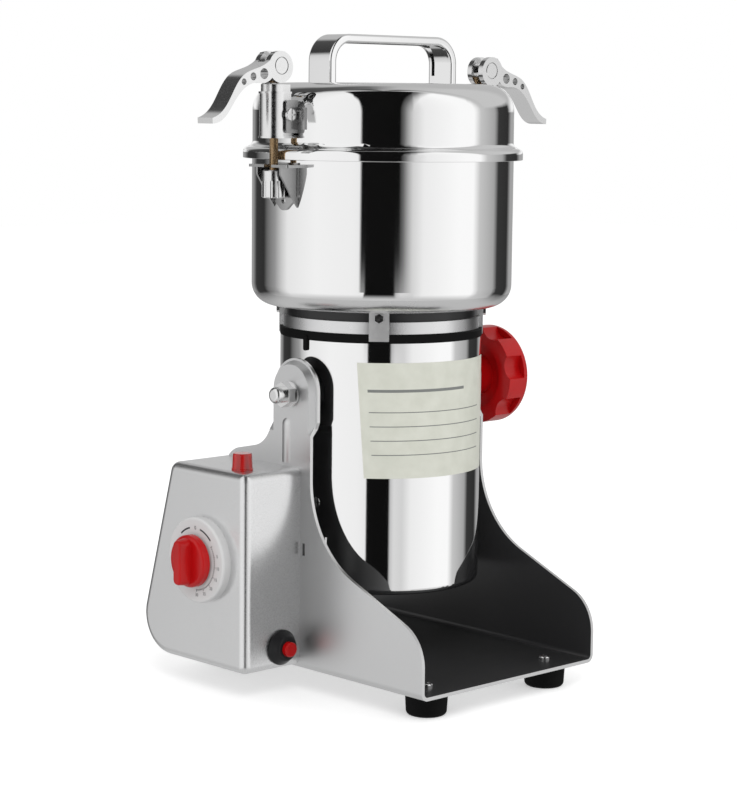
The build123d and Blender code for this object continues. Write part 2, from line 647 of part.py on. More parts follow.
def control_box():
    outer = side_prism(box_face(), BASE_HALF_W, BOX_OUT_X)
    outer = fillet(outer.faces().sort_by(Axis.X)[-1].edges(), BOX_EDGE_R - 0.5)
    inner = side_prism(box_face(BOX_WALL), BASE_HALF_W - 1, BOX_OUT_X - BOX_WALL)
    inner = fillet(inner.faces().sort_by(Axis.X)[-1].edges(), BOX_EDGE_R - 0.6 - BOX_WALL)
    shell = outer - inner + [box_lug(y, z) & outer for y, z in box_lug_places()]
    for y, z in box_lug_places():
        shell -= rod_x(BOX_SCREW_R + FIT, BASE_HALF_W - 1, BASE_HALF_W + BOX_LUG_L - 1, y, z)
    shell -= rod_x(TIMER_SHAFT_R + TIMER_NOSE_WALL + FIT, BOX_OUT_X - 3, BOX_OUT_X + 1, DIAL_Y, DIAL_H)
    shell -= rod_z(LAMP_BODY_R + FIT, BOX_TOP_H - 3, BOX_TOP_H + 1, LAMP_X, LAMP_Y)
    shell -= rod_y(BREAKER_BODY_R + FIT, BOX_FRONT_Y - 1, BOX_FRONT_Y + 3, BREAKER_X, BREAKER_H)
    shell -= gland_plane() * Pos(0, 0, -3) * Cylinder(GLAND_THREAD_R + FIT, 8)
    return to_left(Pos(0, 0, BASE_Z) * shell)


def box_lug(y, z):
    """Screw lug with the web that ties it to the nearest end wall of the box."""
    low, high = (BOX_FRONT_Y, y) if y < DIAL_Y else (y, BOX_REAR_BOTTOM_Y)
    end = BASE_HALF_W + BOX_LUG_L
    web = block(BASE_HALF_W, end, low, high, z - BOX_LUG_WEB / 2, z + BOX_LUG_WEB / 2)
    return rod_x(BOX_LUG_R, BASE_HALF_W, end, y, z) + web


def box_screws():
    screw = pan_screw(BOX_SCREW_R, BOX_SCREW_L, BOX_SCREW_HEAD_R, BOX_SCREW_HEAD_H)
    return [Pos(-WALL_IN_X, y, BASE_Z + z) * Rot(0, 90, 0) * screw for y, z in box_lug_places()]


def timer_body():
    behind = BOX_OUT_X - BOX_WALL
    case = rod_x(TIMER_R, behind - TIMER_L, behind - FIT, DIAL_Y, DIAL_Z)
    case = fillet(case.edges().sort_by(Axis.X)[0], 1.5)
    nose = rod_x(TIMER_SHAFT_R + TIMER_NOSE_WALL, behind - 1, DIAL_FACE_X - TIMER_NOSE_IN, DIAL_Y, DIAL_Z)
    bore = rod_x(TIMER_SHAFT_R + RUN, behind - TIMER_L + TIMER_SHAFT_END - 2, DIAL_FACE_X + 1,
                 DIAL_Y, DIAL_Z)
    return to_left(case + nose - bore)


def dial_plate():
    disc = rod_x(DIAL_R, BOX_OUT_X, DIAL_FACE_X, DIAL_Y, DIAL_Z)
    disc = fillet(disc.edges().sort_by(Axis.X)[-1], DIAL_EDGE_R)
    hole_r = TIMER_SHAFT_R + TIMER_NOSE_WALL + FIT
    return to_left(disc - rod_x(hole_r, BOX_OUT_X - 1, DIAL_FACE_X + 1, DIAL_Y, DIAL_Z))


def timer_knob():
    back = DIAL_FACE_X + TIMER_KNOB_GAP
    face = back + TIMER_KNOB_T
    disc = rod_x(TIMER_KNOB_R, back, face, DIAL_Y, DIAL_Z)
    disc = fillet(disc.edges().sort_by(Axis.X)[-1], 2.0)
    grip_face = Pos(DIAL_Y, DIAL_Z) * RectangleRounded(TIMER_GRIP_W, 2 * TIMER_KNOB_R - 2.5, 3.8)
    grip = extrude(Plane.YZ.offset(face - 1) * grip_face, amount=TIMER_GRIP_T + 1, taper=8)
    grip = fillet(grip.faces().sort_by(Axis.X)[-1].edges(), 1.6)
    inner_end = BOX_OUT_X - BOX_WALL - TIMER_L + TIMER_SHAFT_END
    shaft = rod_x(TIMER_SHAFT_R, inner_end, back + 1, DIAL_Y, DIAL_Z)
    return to_left(disc + grip + shaft)


def indicator_lamp():
    top = BOX_TOP_H + BASE_Z
    cap = turned((0, 0), (LAMP_R, 0), (LAMP_R, 1.0), (LAMP_R - 0.3, 1.3),
                 (LAMP_R - 0.8, LAMP_H, 0.6), (0, LAMP_H))
    body = rod_z(LAMP_BODY_R, -LAMP_BODY_L, 0.1)
    nut = Pos(0, 0, -BOX_WALL - FIT - PANEL_NUT_T) * hex_prism(LAMP_NUT_AF, PANEL_NUT_T)
    return to_left(Pos(LAMP_X, LAMP_Y, top) * (cap + body + nut))


def breaker_body():
    """Round snap-in breaker through the box's front face, drawn along +Z and laid to -Y."""
    nose = turned((0, 0), (BREAKER_R, 0), (BREAKER_R, 1.2), (BREAKER_NOSE_R, BREAKER_NOSE_L, 2.0),
                  (0, BREAKER_NOSE_L))
    body = rod_z(BREAKER_BODY_R, -BREAKER_BODY_L, 0.1)
    latch = Pos(0, 0, -BOX_WALL - FIT) * Box(2 * BREAKER_LATCH_R, BREAKER_LATCH_W, BREAKER_LATCH_T,
                                             align=TOP_ALIGN)
    bore = rod_z(RESET_R + RUN, -RESET_IN - RESET_TRAVEL - RESET_FREE, BREAKER_NOSE_L + 1)
    piece = nose + body + latch - bore
    return to_left(Pos(BREAKER_X, BOX_FRONT_Y, BASE_Z + BREAKER_H) * Rot(90, 0, 0) * piece)


def reset_button():
    button = rod_z(RESET_R, -RESET_IN, BREAKER_NOSE_L + RESET_OUT)
    button = fillet(button.edges().sort_by(Axis.Z)[-1], 0.8)
    return to_left(Pos(BREAKER_X, BOX_FRONT_Y, BASE_Z + BREAKER_H) * Rot(90, 0, 0) * button)


def cable_gland():
    head = turned((0, 0), (GLAND_FLANGE_R, 0), (GLAND_FLANGE_R, GLAND_FLANGE_T),
                  (GLAND_R, GLAND_FLANGE_T + 1), (GLAND_THREAD_R, GLAND_OUT, 1.0), (0, GLAND_OUT))
    thread = rod_z(GLAND_THREAD_R, -GLAND_IN, 0.1)
    nut = Pos(0, 0, -BOX_WALL - FIT - PANEL_NUT_T) * hex_prism(GLAND_NUT_AF, PANEL_NUT_T)
    gland = head + thread + nut - rod_z(GLAND_BORE_R, -GLAND_IN - 1, GLAND_OUT + 1)
    return to_left(Pos(0, 0, BASE_Z) * (gland_plane().location * gland))


# ---------------------------------------------------------------- barrel and neck
def barrel_shell():
    r, t = BARREL_R, BARREL_WALL
    low, high = BARREL_BOTTOM_Z, BARREL_TOP_Z
    shell = turned((0, low), (r, low, BARREL_EDGE_R), (r, high), (r - t, high),
                   (r - t, low + t, BARREL_EDGE_R - t), (0, low + t))
    slot_face = Pos((VENT_R_IN + VENT_R_OUT) / 2, 0, low) * SlotOverall(VENT_R_OUT - VENT_R_IN, VENT_W)
    shell -= around(extrude(slot_face, 2 * t, both=True), VENT_COUNT)
    return shell - both_sides(rod_x(STUD_R + FIT, BARREL_R - STUD_HEAD_R, BARREL_R + 1, 0, PIVOT_Z))


def barrel_edging():
    """Rubber edging on the barrel's rim, with a small tab over the control box."""
    bead = turned((SPIGOT_R + FIT, BARREL_TOP_Z), (EDGING_R, BARREL_TOP_Z, 0.8),
                  (EDGING_R, RING_Z, 0.8), (SPIGOT_R + FIT, RING_Z))
    tab = block(-EDGING_R - EDGING_TAB_T, EDGING_TAB_T - BARREL_R, -EDGING_TAB_W / 2, EDGING_TAB_W / 2,
                BARREL_TOP_Z - EDGING_TAB_H, BARREL_TOP_Z + EDGING_H / 2)
    tab = fillet(tab.edges().filter_by(Axis.X).sort_by(Axis.Z)[:2], EDGING_TAB_R)
    return bead + (tab - rod_z(BARREL_R + FIT, BARREL_TOP_Z - EDGING_TAB_H - 1, BARREL_TOP_Z))


def motor_screw_places():
    return [(MOTOR_SCREW_PCR * cos(radians(a)), MOTOR_SCREW_PCR * sin(radians(a)))
            for a in (45, 135, 225, 315)]


def air_slot(arc_r, span_deg, width, z_middle):
    """Curved cooling slot through a plate, centred on +X."""
    slot = SlotArc(CenterArc((0, 0), arc_r, -span_deg / 2, span_deg), width)
    return extrude(Pos(0, 0, z_middle) * slot, 12, both=True)


def motor_frame():
    """Cast frame: the visible ring, its plate, the upper bearing hub and the motor bell."""
    ring = tube(RING_R - RING_WALL, RING_R, RING_Z, NECK_Z)
    spigot = tube(RING_R - RING_WALL, SPIGOT_R, PLATE_Z, RING_Z)
    plate = rod_z(SPIGOT_R, PLATE_Z, RING_Z)
    hub = rod_z(HUB_R, HUB_Z, NECK_Z)
    bell = tube(STATOR_R - BELL_WALL, STATOR_R, STATOR_TOP_Z, PLATE_Z + 1)
    rib = block(HUB_R - 1, RING_R - RING_WALL + 1, -1.5, 1.5, RING_Z - 1, NECK_Z)
    frame = ring + spigot + plate + hub + bell + around(rib, 8, 22.5)
    frame -= around(air_slot(FRAME_SLOT_R, 26, 9.0, PLATE_Z), 8)
    window = Box(4 * BELL_WALL, WINDOW_W, FRAME_WINDOW_H)
    frame -= around(Pos(STATOR_R, 0, (STATOR_TOP_Z + PLATE_Z) / 2) * window, 4)
    frame -= rod_z(UPPER_BEARING_R + FIT, HUB_Z - 1, UPPER_BEARING_Z + UPPER_BEARING_T)
    frame -= rod_z(SHAFT_R + 1.5, HUB_Z - 1, NECK_Z + 1)
    for x, y in motor_screw_places():
        frame += rod_z(3.9, PLATE_Z - 4, PLATE_Z + 1, x, y)
        frame -= rod_z(MOTOR_SCREW_R + FIT, PLATE_Z - 5, RING_Z + 1, x, y)
    return frame


def neck_collar():
    collar = tube(NECK_R - NECK_WALL, NECK_R, NECK_Z, BOWL_Z)
    bolt_hole = rod_x(STRAP_BOLT_R + FIT, NECK_R - NECK_WALL - 1, NECK_R + 1, 0, BOWL_Z - STRAP_BOLT_DROP)
    return collar - around(bolt_hole, 4, 45)


def neck_straps():
    """Thin steel lugs that tie the ring to the bowl's underside, one at each diagonal."""
    low, high = BARREL_TOP_Z + EDGING_H - STRAP_LAP, BOWL_Z
    lug = block(NECK_R - 2, STRAP_R, -STRAP_W / 2, STRAP_W / 2, low, high)
    lug &= rod_z(STRAP_R, low - 1, high + 1)
    lug -= rod_z(NECK_R + FIT, low - 1, high + 1)
    lug -= rod_z(RING_R + FIT, low - 1, NECK_Z + FIT)
    lug -= rod_z(EDGING_R + FIT, low - 1, RING_Z + FIT)
    lug -= rod_x(STRAP_BOLT_R + FIT, NECK_R - 3, STRAP_R + 2, 0, BOWL_Z - STRAP_BOLT_DROP)
    return around(lug, 4, 45)


def strap_bolts():
    head = hex_prism(STRAP_BOLT_AF, STRAP_BOLT_HEAD_T) + rod_z(STRAP_BOLT_R, -STRAP_BOLT_L, 0.1)
    bolt = Pos(STRAP_R, 0, BOWL_Z - STRAP_BOLT_DROP) * Rot(0, 90, 0) * head
    return around(bolt, 4, 45)


def pivot_studs():
    """Studs through the barrel: the left one carries the cap nut, the right one the knob."""
    seat_x = sqrt((BARREL_R - BARREL_WALL) ** 2 - STUD_HEAD_R ** 2) - FIT
    tips = (-(BASE_HALF_W + CAP_NUT_FLANGE_T + CAP_NUT_HEX_T), BASE_HALF_W + TILT_KNOB_GAP + TILT_STUD_LEN)
    studs = []
    for tip in tips:
        side = 1 if tip > 0 else -1
        head = sorted((side * (seat_x - STUD_HEAD_T), side * seat_x))
        shank = sorted((side * (seat_x - 1), tip))
        studs.append(rod_x(STUD_HEAD_R, *head, 0, PIVOT_Z) + rod_x(STUD_R, *shank, 0, PIVOT_Z))
    return studs


def pivot_cap_nut():
    flange = rod_z(CAP_NUT_FLANGE_R, 0, CAP_NUT_FLANGE_T)
    hexagon = Pos(0, 0, CAP_NUT_FLANGE_T) * hex_prism(CAP_NUT_AF, CAP_NUT_HEX_T)
    hex_top = CAP_NUT_FLANGE_T + CAP_NUT_HEX_T
    tip = CAP_NUT_OUT - SIDE
    dome = rod_z(CAP_NUT_DOME_R, hex_top - 1, tip)
    dome = fillet(dome.edges().sort_by(Axis.Z)[-1], 2.2)
    nut = flange + hexagon + dome - rod_z(STUD_R + FIT, -1, hex_top + 0.5)
    return to_left(Pos(BASE_HALF_W + SIDE, 0, PIVOT_Z) * Rot(0, 90, 0) * nut)


def tilt_knob():
    """Lobed clamping knob on the right stud, drawn along +Z from the wall's outer face."""
    back = TILT_KNOB_GAP
    front = back + TILT_KNOB_T
    body = rod_z(TILT_KNOB_R, back, front)
    body = fillet(body.edges().sort_by(Axis.Z)[-1], 3.0)
    hollow_pcr = TILT_KNOB_R + TILT_HOLLOW_R - TILT_HOLLOW_DEPTH
    hollow = rod_z(TILT_HOLLOW_R, back - 1, front - TILT_KNOB_CAP_T, hollow_pcr)
    body -= around(hollow, TILT_KNOB_LOBES)
    body -= tube(TILT_KNOB_HUB_R, TILT_KNOB_DISH_R, back - 1, back + TILT_KNOB_DISH_DEPTH)
    hub = rod_z(TILT_KNOB_HUB_R, SIDE, back + TILT_KNOB_DISH_DEPTH + 1)
    knob = body + hub - rod_z(STUD_R + RUN, -1, back + TILT_STUD_LEN + SIDE)
    return Pos(BASE_HALF_W, 0, PIVOT_Z) * Rot(0, 90, 0) * knob


# ---------------------------------------------------------------- motor
def lower_motor_bracket():
    plate = tube(LOWER_BEARING_R - 2, MOTOR_PLATE_R, BRACKET_Z, BRACKET_Z + MOTOR_PLATE_T)
    bell = tube(STATOR_R - BELL_WALL, STATOR_R, BRACKET_Z, STATOR_Z)
    boss_top = BRACKET_Z + MOTOR_PLATE_T + LOWER_BEARING_T
    boss = tube(LOWER_BEARING_R + FIT, LOWER_BEARING_R + BELL_WALL, BRACKET_Z, boss_top)
    bracket = plate + bell + boss
    bracket -= rod_z(LOWER_BEARING_R + FIT, BRACKET_Z + MOTOR_PLATE_T, STATOR_Z)
    bracket += boss
    bracket -= around(air_slot(BRACKET_SLOT_R, 22, 8.0, BRACKET_Z), 8, 22.5)
    window_top = STATOR_Z - BRACKET_WINDOW_DROP
    window = block(STATOR_R - BELL_WALL - 1, STATOR_R + 1, -WINDOW_W / 2, WINDOW_W / 2,
                   window_top - BRACKET_WINDOW_H, window_top)
    bracket -= around(window, 2)
    for y_dir in (-1, 1):
        bracket -= brush_box(y_dir, BRUSH_WALL + FIT)
    for x, y in motor_screw_places():
        bracket -= rod_z(MOTOR_SCREW_R + FIT, BRACKET_Z - 1, BRACKET_Z + MOTOR_PLATE_T + 1, x, y)
    return bracket


def brush_box(y_dir, grow):
    """Space of a brush, grown on all sides, from near the commutator outwards."""
    middle = COMMUTATOR_Z + COMMUTATOR_L / 2
    low, high = sorted((y_dir * (COMMUTATOR_R + 3), y_dir * (STATOR_R + 2)))
    return block(-BRUSH_W / 2 - grow, BRUSH_W / 2 + grow, low, high,
                 middle - BRUSH_H / 2 - grow, middle + BRUSH_H / 2 + grow)


def brush_holders():
    return [brush_box(side, BRUSH_WALL) - brush_box(side, FIT) for side in (-1, 1)]


def carbon_brushes():
    middle = COMMUTATOR_Z + COMMUTATOR_L / 2
    brush = block(-BRUSH_W / 2, BRUSH_W / 2, 0, COMMUTATOR_R + BRUSH_L,
                  middle - BRUSH_H / 2, middle + BRUSH_H / 2)
    brush -= rod_z(COMMUTATOR_R + SPARK_GAP, COMMUTATOR_Z - 1, COMMUTATOR_Z + COMMUTATOR_L + 1)
    return [brush, Rot(0, 0, 180) * brush]


def stator_core():
    core = tube(ARMATURE_R + AIR_GAP, STATOR_R, STATOR_Z, STATOR_TOP_Z)
    slot = block(ARMATURE_R - COIL_SLOT_IN, COIL_X_OUT + FIT, COIL_Y_IN - FIT, COIL_Y_OUT + FIT,
                 STATOR_Z - 1, STATOR_TOP_Z + 1)
    slots = [slot, mirror(slot, about=Plane.XZ)]
    return core - [turn * piece for piece in slots for turn in (Rot(0, 0, 0), Rot(0, 0, 180))]


def field_coils():
    low, high = STATOR_Z - COIL_OVERHANG, STATOR_TOP_Z + COIL_OVERHANG
    coil = block(COIL_X_IN, COIL_X_OUT, -COIL_Y_OUT, COIL_Y_OUT, low, high)
    coil -= block(COIL_X_IN - 1, COIL_X_OUT + 1, -COIL_Y_IN, COIL_Y_IN, STATOR_Z - FIT, STATOR_TOP_Z + FIT)
    return both_sides(coil)


def motor_screws():
    length = PLATE_Z + MOTOR_PLATE_T - BRACKET_Z
    screw = rod_z(SCREW_HEAD_R, -3.0, 0) + rod_z(MOTOR_SCREW_R, -0.5, length)
    return [Pos(x, y, BRACKET_Z) * screw for x, y in motor_screw_places()]


def bearing(bore_r, outer_r, width, z_low):
    """Ball bearing as one ring with the grooves of its two shields."""
    ring = tube(bore_r, outer_r, z_low, z_low + width)
    groove_in, groove_out = bore_r + 1.8, outer_r - 1.8
    ring -= tube(groove_in, groove_out, z_low - 1, z_low + 0.5)
    return ring - tube(groove_in, groove_out, z_low + width - 0.5, z_low + width + 1)


def upper_bearing():
    return bearing(SHAFT_R + FIT, UPPER_BEARING_R, UPPER_BEARING_T, UPPER_BEARING_Z)


def lower_bearing():
    low = BRACKET_Z + MOTOR_PLATE_T
    return bearing(SHAFT_LOW_R + FIT, LOWER_BEARING_R, LOWER_BEARING_T, low)


# ---------------------------------------------------------------- rotor
def rotor_shaft():
    shoulder = BRACKET_Z + MOTOR_PLATE_T + LOWER_BEARING_T + 1
    return turned((0, BRACKET_Z + 1), (SHAFT_LOW_R, BRACKET_Z + 1), (SHAFT_LOW_R, shoulder),
                  (SHAFT_R, shoulder), (SHAFT_R, SHAFT_TOP_Z, 0.8), (0, SHAFT_TOP_Z))


def armature_core():
    core = tube(SHAFT_R + FIT, ARMATURE_R, STATOR_Z, STATOR_TOP_Z)
    slot = block(ARMATURE_R - ARMATURE_SLOT_DEPTH, ARMATURE_R + 1, -ARMATURE_SLOT_W / 2, ARMATURE_SLOT_W / 2,
                 STATOR_Z - 1, STATOR_TOP_Z + 1)
    return core - around(slot, ARMATURE_SLOTS)


def armature_windings():
    low = turned((SHAFT_R + 3, STATOR_Z - WINDING_T, 1.5), (WINDING_R, STATOR_Z - WINDING_T, 4),
                 (WINDING_R, STATOR_Z - FIT), (SHAFT_R + 3, STATOR_Z - FIT))
    high = turned((SHAFT_R + 3, STATOR_TOP_Z + FIT), (WINDING_R, STATOR_TOP_Z + FIT),
                  (WINDING_R, STATOR_TOP_Z + WINDING_T, 4), (SHAFT_R + 3, STATOR_TOP_Z + WINDING_T, 1.5))
    return [low, high]


def commutator():
    top = COMMUTATOR_Z + COMMUTATOR_L
    body = tube(SHAFT_R + FIT, COMMUTATOR_R, COMMUTATOR_Z, top)
    riser = tube(SHAFT_R + FIT, COMMUTATOR_R + 2, top - 2, top + 1)
    return body + riser


def cooling_fan():
    hub = tube(SHAFT_R + FIT, FAN_HUB_R, FAN_Z, FAN_Z + FAN_H)
    disc = tube(SHAFT_R + FIT, FAN_R, FAN_Z, FAN_Z + FAN_DISC_T)
    vane = block(FAN_HUB_R - 1, FAN_R - 1, -FAN_BLADE_T / 2, FAN_BLADE_T / 2,
                 FAN_Z + FAN_DISC_T / 2, FAN_Z + FAN_H)
    return hub + disc + around(vane, FAN_BLADES)


def blade(z_low, tip_deg):
    """Two-ended blade with bent tips; a positive angle bends the tips up."""
    half = BLADE_LEN - BLADE_TIP_LEN
    flat = block(-half, half, -BLADE_W / 2, BLADE_W / 2, 0, BLADE_T) + rod_z(SPACER_R + 2, 0, BLADE_T)
    tip_face = outline((0, -BLADE_W / 2), (BLADE_TIP_LEN, -BLADE_TIP_W / 2, 1.0),
                       (BLADE_TIP_LEN, BLADE_TIP_W / 2, 1.0), (0, BLADE_W / 2))
    tip = Pos(half, 0, 0) * Rot(0, -tip_deg, 0) * extrude(tip_face, amount=BLADE_T)
    elbow = Pos(half, 0, BLADE_T / 2) * Rot(90, 0, 0) * Cylinder(BLADE_T / 2, BLADE_W)
    bar = flat + tip + elbow + Rot(0, 0, 180) * (tip + elbow)
    return Pos(0, 0, z_low) * (bar - rod_z(BLADE_BORE_R + FIT, -1, BLADE_T + 1))


def lower_blade():
    return blade(LOWER_BLADE_Z, 8.0)


def upper_blade():
    return Rot(0, 0, 90) * blade(UPPER_BLADE_Z, BLADE_TIP_DEG)


def blade_spacers():
    low_gap = SEAL_FLANGE_T + SIDE
    under = tube(SHAFT_R + FIT, SPACER_R, BOWL_FLOOR_Z + low_gap, LOWER_BLADE_Z)
    between = tube(SHAFT_R + FIT, SPACER_R, LOWER_BLADE_Z + BLADE_T, UPPER_BLADE_Z)
    return [under, between]


def blade_nut():
    nut = Pos(0, 0, UPPER_BLADE_Z + BLADE_T) * hex_prism(BLADE_NUT_AF, BLADE_NUT_H)
    nut = chamfer(nut.faces().sort_by(Axis.Z)[-1].edges(), 1.0)
    return nut - rod_z(SHAFT_R + FIT, UPPER_BLADE_Z, SHAFT_TOP_Z + 1)


# ---------------------------------------------------------------- bowl
def bowl():
    r, t = BOWL_R, BOWL_WALL
    corner_in = BOWL_CORNER_R - t
    return turned(
        (BOWL_HOLE_R, BOWL_Z), (r, BOWL_Z, BOWL_CORNER_R),
        (r, BOWL_TOP_Z - t), (BOWL_RIM_R, BOWL_TOP_Z - t), (BOWL_RIM_R, BOWL_TOP_Z),
        (r - t, BOWL_TOP_Z), (r - t, BOWL_FLOOR_Z, corner_in), (BOWL_HOLE_R, BOWL_FLOOR_Z))


def shaft_seal():
    """Rubber seal in the bowl's centre hole."""
    bore = SHAFT_R + RUN
    plug = tube(bore, BOWL_HOLE_R - FIT, NECK_Z + FIT, BOWL_FLOOR_Z + 1)
    return plug + tube(bore, SEAL_FLANGE_R, BOWL_FLOOR_Z, BOWL_FLOOR_Z + SEAL_FLANGE_T)


def clamp_bracket():
    """Fork bracket on the bowl's right side: curved back, slotted shelf and two cheeks."""
    top, back_r, w = SHELF_Z + SHELF_T, BOWL_R + FIT + BRACKET_T, BRACKET_HALF_W
    low = top - BRACKET_H
    plate_face = outline((-w, top + BRACKET_UP), (w, top + BRACKET_UP), (w, top - BRACKET_SIDE_H, 2.0),
                         (0, low, BRACKET_POINT_R), (-w, top - BRACKET_SIDE_H, 2.0))
    back = tube(BOWL_R + FIT, back_r, low, top + BRACKET_UP) & side_prism(plate_face, BOWL_R / 2, back_r + 1)
    back -= rod_x(BRACKET_HOLE_R, BOWL_R - 2, back_r + 1, 0, top - BRACKET_HOLE_H)
    shelf_out = CLAMP_X + SHELF_OUT
    shelf = block(BOWL_R - 3, shelf_out, -SHELF_HALF_W, SHELF_HALF_W, SHELF_Z, top)
    shelf = fillet(shelf.edges().filter_by(Axis.Z).sort_by(Axis.X)[-2:], SHELF_CORNER_R)
    cheek_face = outline((BOWL_R - 2, SHELF_Z + 0.5), (shelf_out - 0.6, SHELF_Z + 0.5),
                         (shelf_out - 0.6, SHELF_Z - CHEEK_NOSE_H, 2.0),
                         (BOWL_R + CHEEK_BELLY_OUT, SHELF_Z - CHEEK_BELLY_H, 4.0),
                         (BOWL_R - 2, SHELF_Z - CHEEK_H))
    cheek = front_prism(cheek_face, CHEEK_Y, CHEEK_Y + CHEEK_T)
    bracket = back + shelf + cheek + mirror(cheek, about=Plane.XZ)
    bracket -= rod_z(BOWL_R + FIT, low - 5, top + 3)
    slot_half_w = CLAMP_ROD_R + 0.6
    bracket -= rod_z(slot_half_w, SHELF_Z - 1, top + 1, CLAMP_X)
    bracket -= block(CLAMP_X, CLAMP_X + SHELF_OUT + 1, -slot_half_w, slot_half_w, SHELF_Z - 1, top + 1)
    return bracket


def clamp_brackets():
    return both_sides(clamp_bracket())


# ---------------------------------------------------------------- lid
def lid_cap():
    """The lid before it is drilled for the handle's screws."""
    skirt, r, t = LID_SKIRT_R, LID_R, LID_WALL
    return turned(
        (skirt, SKIRT_Z, 0.3), (skirt, STEP_OUT_Z, LID_STEP_R), (r, STEP_IN_Z, LID_STEP_R),
        (r, LID_TOP_Z, LID_SHOULDER_R),
        (0, LID_TOP_Z), (0, LID_TOP_Z - t), (r - t, LID_TOP_Z - t, LID_SHOULDER_R - t),
        (r - t, STEP_IN_Z - t, LID_STEP_R + t / 2), (skirt - t, STEP_OUT_Z - t, LID_STEP_R - t),
        (skirt - t, SKIRT_Z, 0.3))


def lid_inner_plate():
    """Shallow dish that closes the lid from below."""
    r = LID_R - LID_WALL - FIT
    low = INNER_PLATE_Z
    return turned((0, low), (r, low), (r, low + PLATE_RIM_H), (r - PLATE_T, low + PLATE_RIM_H),
                  (r - PLATE_T, low + PLATE_T, 1.0), (0, low + PLATE_T))


def lid_gasket():
    """Ring between the bowl's rim and the sloping underside of the lid's step."""
    slope = LID_STEP_RISE / (LID_SKIRT_R - LID_R)
    low, outer_top = BOWL_TOP_Z + FIT, STEP_OUT_Z - LID_WALL - FIT
    tops = [outer_top + slope * (LID_SKIRT_R - LID_WALL - r) for r in (GASKET_R_IN, GASKET_R_OUT)]
    return turned((GASKET_R_IN, low), (GASKET_R_OUT, low), (GASKET_R_OUT, tops[1]), (GASKET_R_IN, tops[0]))


def handle_loop(half_span, top, corner_r):
    """Front view of the handle, from the lid up."""
    return outline((-half_span, LID_TOP_Z), (-half_span, top, corner_r),
                   (half_span, top, corner_r), (half_span, LID_TOP_Z))


def lid_handle():
    """Rounded strip bent over the lid, with a shallow groove along its underside."""
    top = LID_TOP_Z + HANDLE_H
    outer = front_prism(handle_loop(HANDLE_HALF_SPAN, top, HANDLE_CORNER_R), -HANDLE_W / 2, HANDLE_W / 2)
    inner_loop = handle_loop(HANDLE_HALF_SPAN - HANDLE_T, top - HANDLE_T, HANDLE_CORNER_R - HANDLE_T)
    inner = front_prism(inner_loop, -HANDLE_W / 2 - 1, HANDLE_W / 2 + 1)
    strip = outer - inner
    long_edges = [edge for edge in strip.edges() if abs(abs(edge.center().Y) - HANDLE_W / 2) < 0.01
                  and edge.center().Z > LID_TOP_Z + 0.1]
    strip = fillet(long_edges, HANDLE_EDGE_R)
    left = HANDLE_T - HANDLE_GROOVE_D
    groove = front_prism(handle_loop(HANDLE_HALF_SPAN - left, top - left, HANDLE_CORNER_R - left),
                         -HANDLE_GROOVE_W / 2, HANDLE_GROOVE_W / 2)
    groove -= block(-HANDLE_HALF_SPAN, HANDLE_HALF_SPAN, -HANDLE_W, HANDLE_W, LID_TOP_Z - 1,
                    LID_TOP_Z + HANDLE_FOOT_H)
    handle = strip - groove
    for x in handle_screw_places():
        handle -= rod_z(HANDLE_SCREW_R + FIT, LID_TOP_Z - 1, LID_TOP_Z + HANDLE_FOOT_H - 1, x)
    return handle


def handle_screw_places():
    middle = HANDLE_HALF_SPAN - HANDLE_T / 2
    return (-middle, middle)


def handle_screws():
    """Screws from inside the lid up into the handle's feet."""
    under = LID_TOP_Z - LID_WALL
    length = LID_WALL + HANDLE_FOOT_H - HANDLE_SCREW_END
    screw = rod_z(HANDLE_WASHER_R, -HANDLE_WASHER_T, 0) + rod_z(HANDLE_SCREW_R, -0.5, length)
    return [Pos(x, 0, under) * screw for x in handle_screw_places()]


def lid_shell():
    lid = lid_cap()
    for x in handle_screw_places():
        lid -= rod_z(HANDLE_SCREW_R + FIT, LID_TOP_Z - 2 * LID_WALL, LID_TOP_Z + 1, x)
    return lid


def clamp_ears():
    """Pairs of bent ears welded to the lid, which carry the sleeve blocks."""
    inner_y = SLEEVE_R + 0.25
    outer_y = inner_y + CLAMP_EAR_T
    cheek_face = outline((LID_R - 4, SWING_Z - CLAMP_EAR_HALF_H),
                         (CLAMP_EAR_OUT, SWING_Z - CLAMP_EAR_HALF_H, 2.0),
                         (CLAMP_EAR_OUT, SWING_Z + CLAMP_EAR_HALF_H - 2, 2.0),
                         (LID_R - 4, SWING_Z + CLAMP_EAR_HALF_H - 2))
    cheek = front_prism(cheek_face, inner_y, outer_y)
    foot_half_h = CLAMP_EAR_HALF_H - 4
    foot_r = LID_R + FIT + CLAMP_EAR_FOOT_T
    foot = tube(LID_R - 4, foot_r, SWING_Z - foot_half_h - 2, SWING_Z + foot_half_h - 2)
    foot &= block(0, foot_r + 1, inner_y, outer_y + CLAMP_EAR_FOOT, SWING_Z - 20, SWING_Z + 20)
    ear_piece = cheek + foot - rod_z(LID_R + FIT, SWING_Z - 20, SWING_Z + 20)
    ear_piece -= rod_y(CLAMP_SCREW_R + FIT, inner_y - 1, outer_y + 1, SWING_X, SWING_Z)
    pair = [ear_piece, mirror(ear_piece, about=Plane.XZ)]
    return pair + [to_left(piece) for piece in pair]


def clamp_pivot_screws():
    seat_y = SLEEVE_R + 0.25 + CLAMP_EAR_T
    screw = pan_screw(CLAMP_SCREW_R, seat_y - CLAMP_SCREW_TIP_Y, SCREW_HEAD_R, 1.7)
    rear = Pos(SWING_X, seat_y, SWING_Z) * Rot(-90, 0, 0) * screw
    front = Pos(SWING_X, -seat_y, SWING_Z) * Rot(90, 0, 0) * screw
    return [rear, front, to_left(rear), to_left(front)]


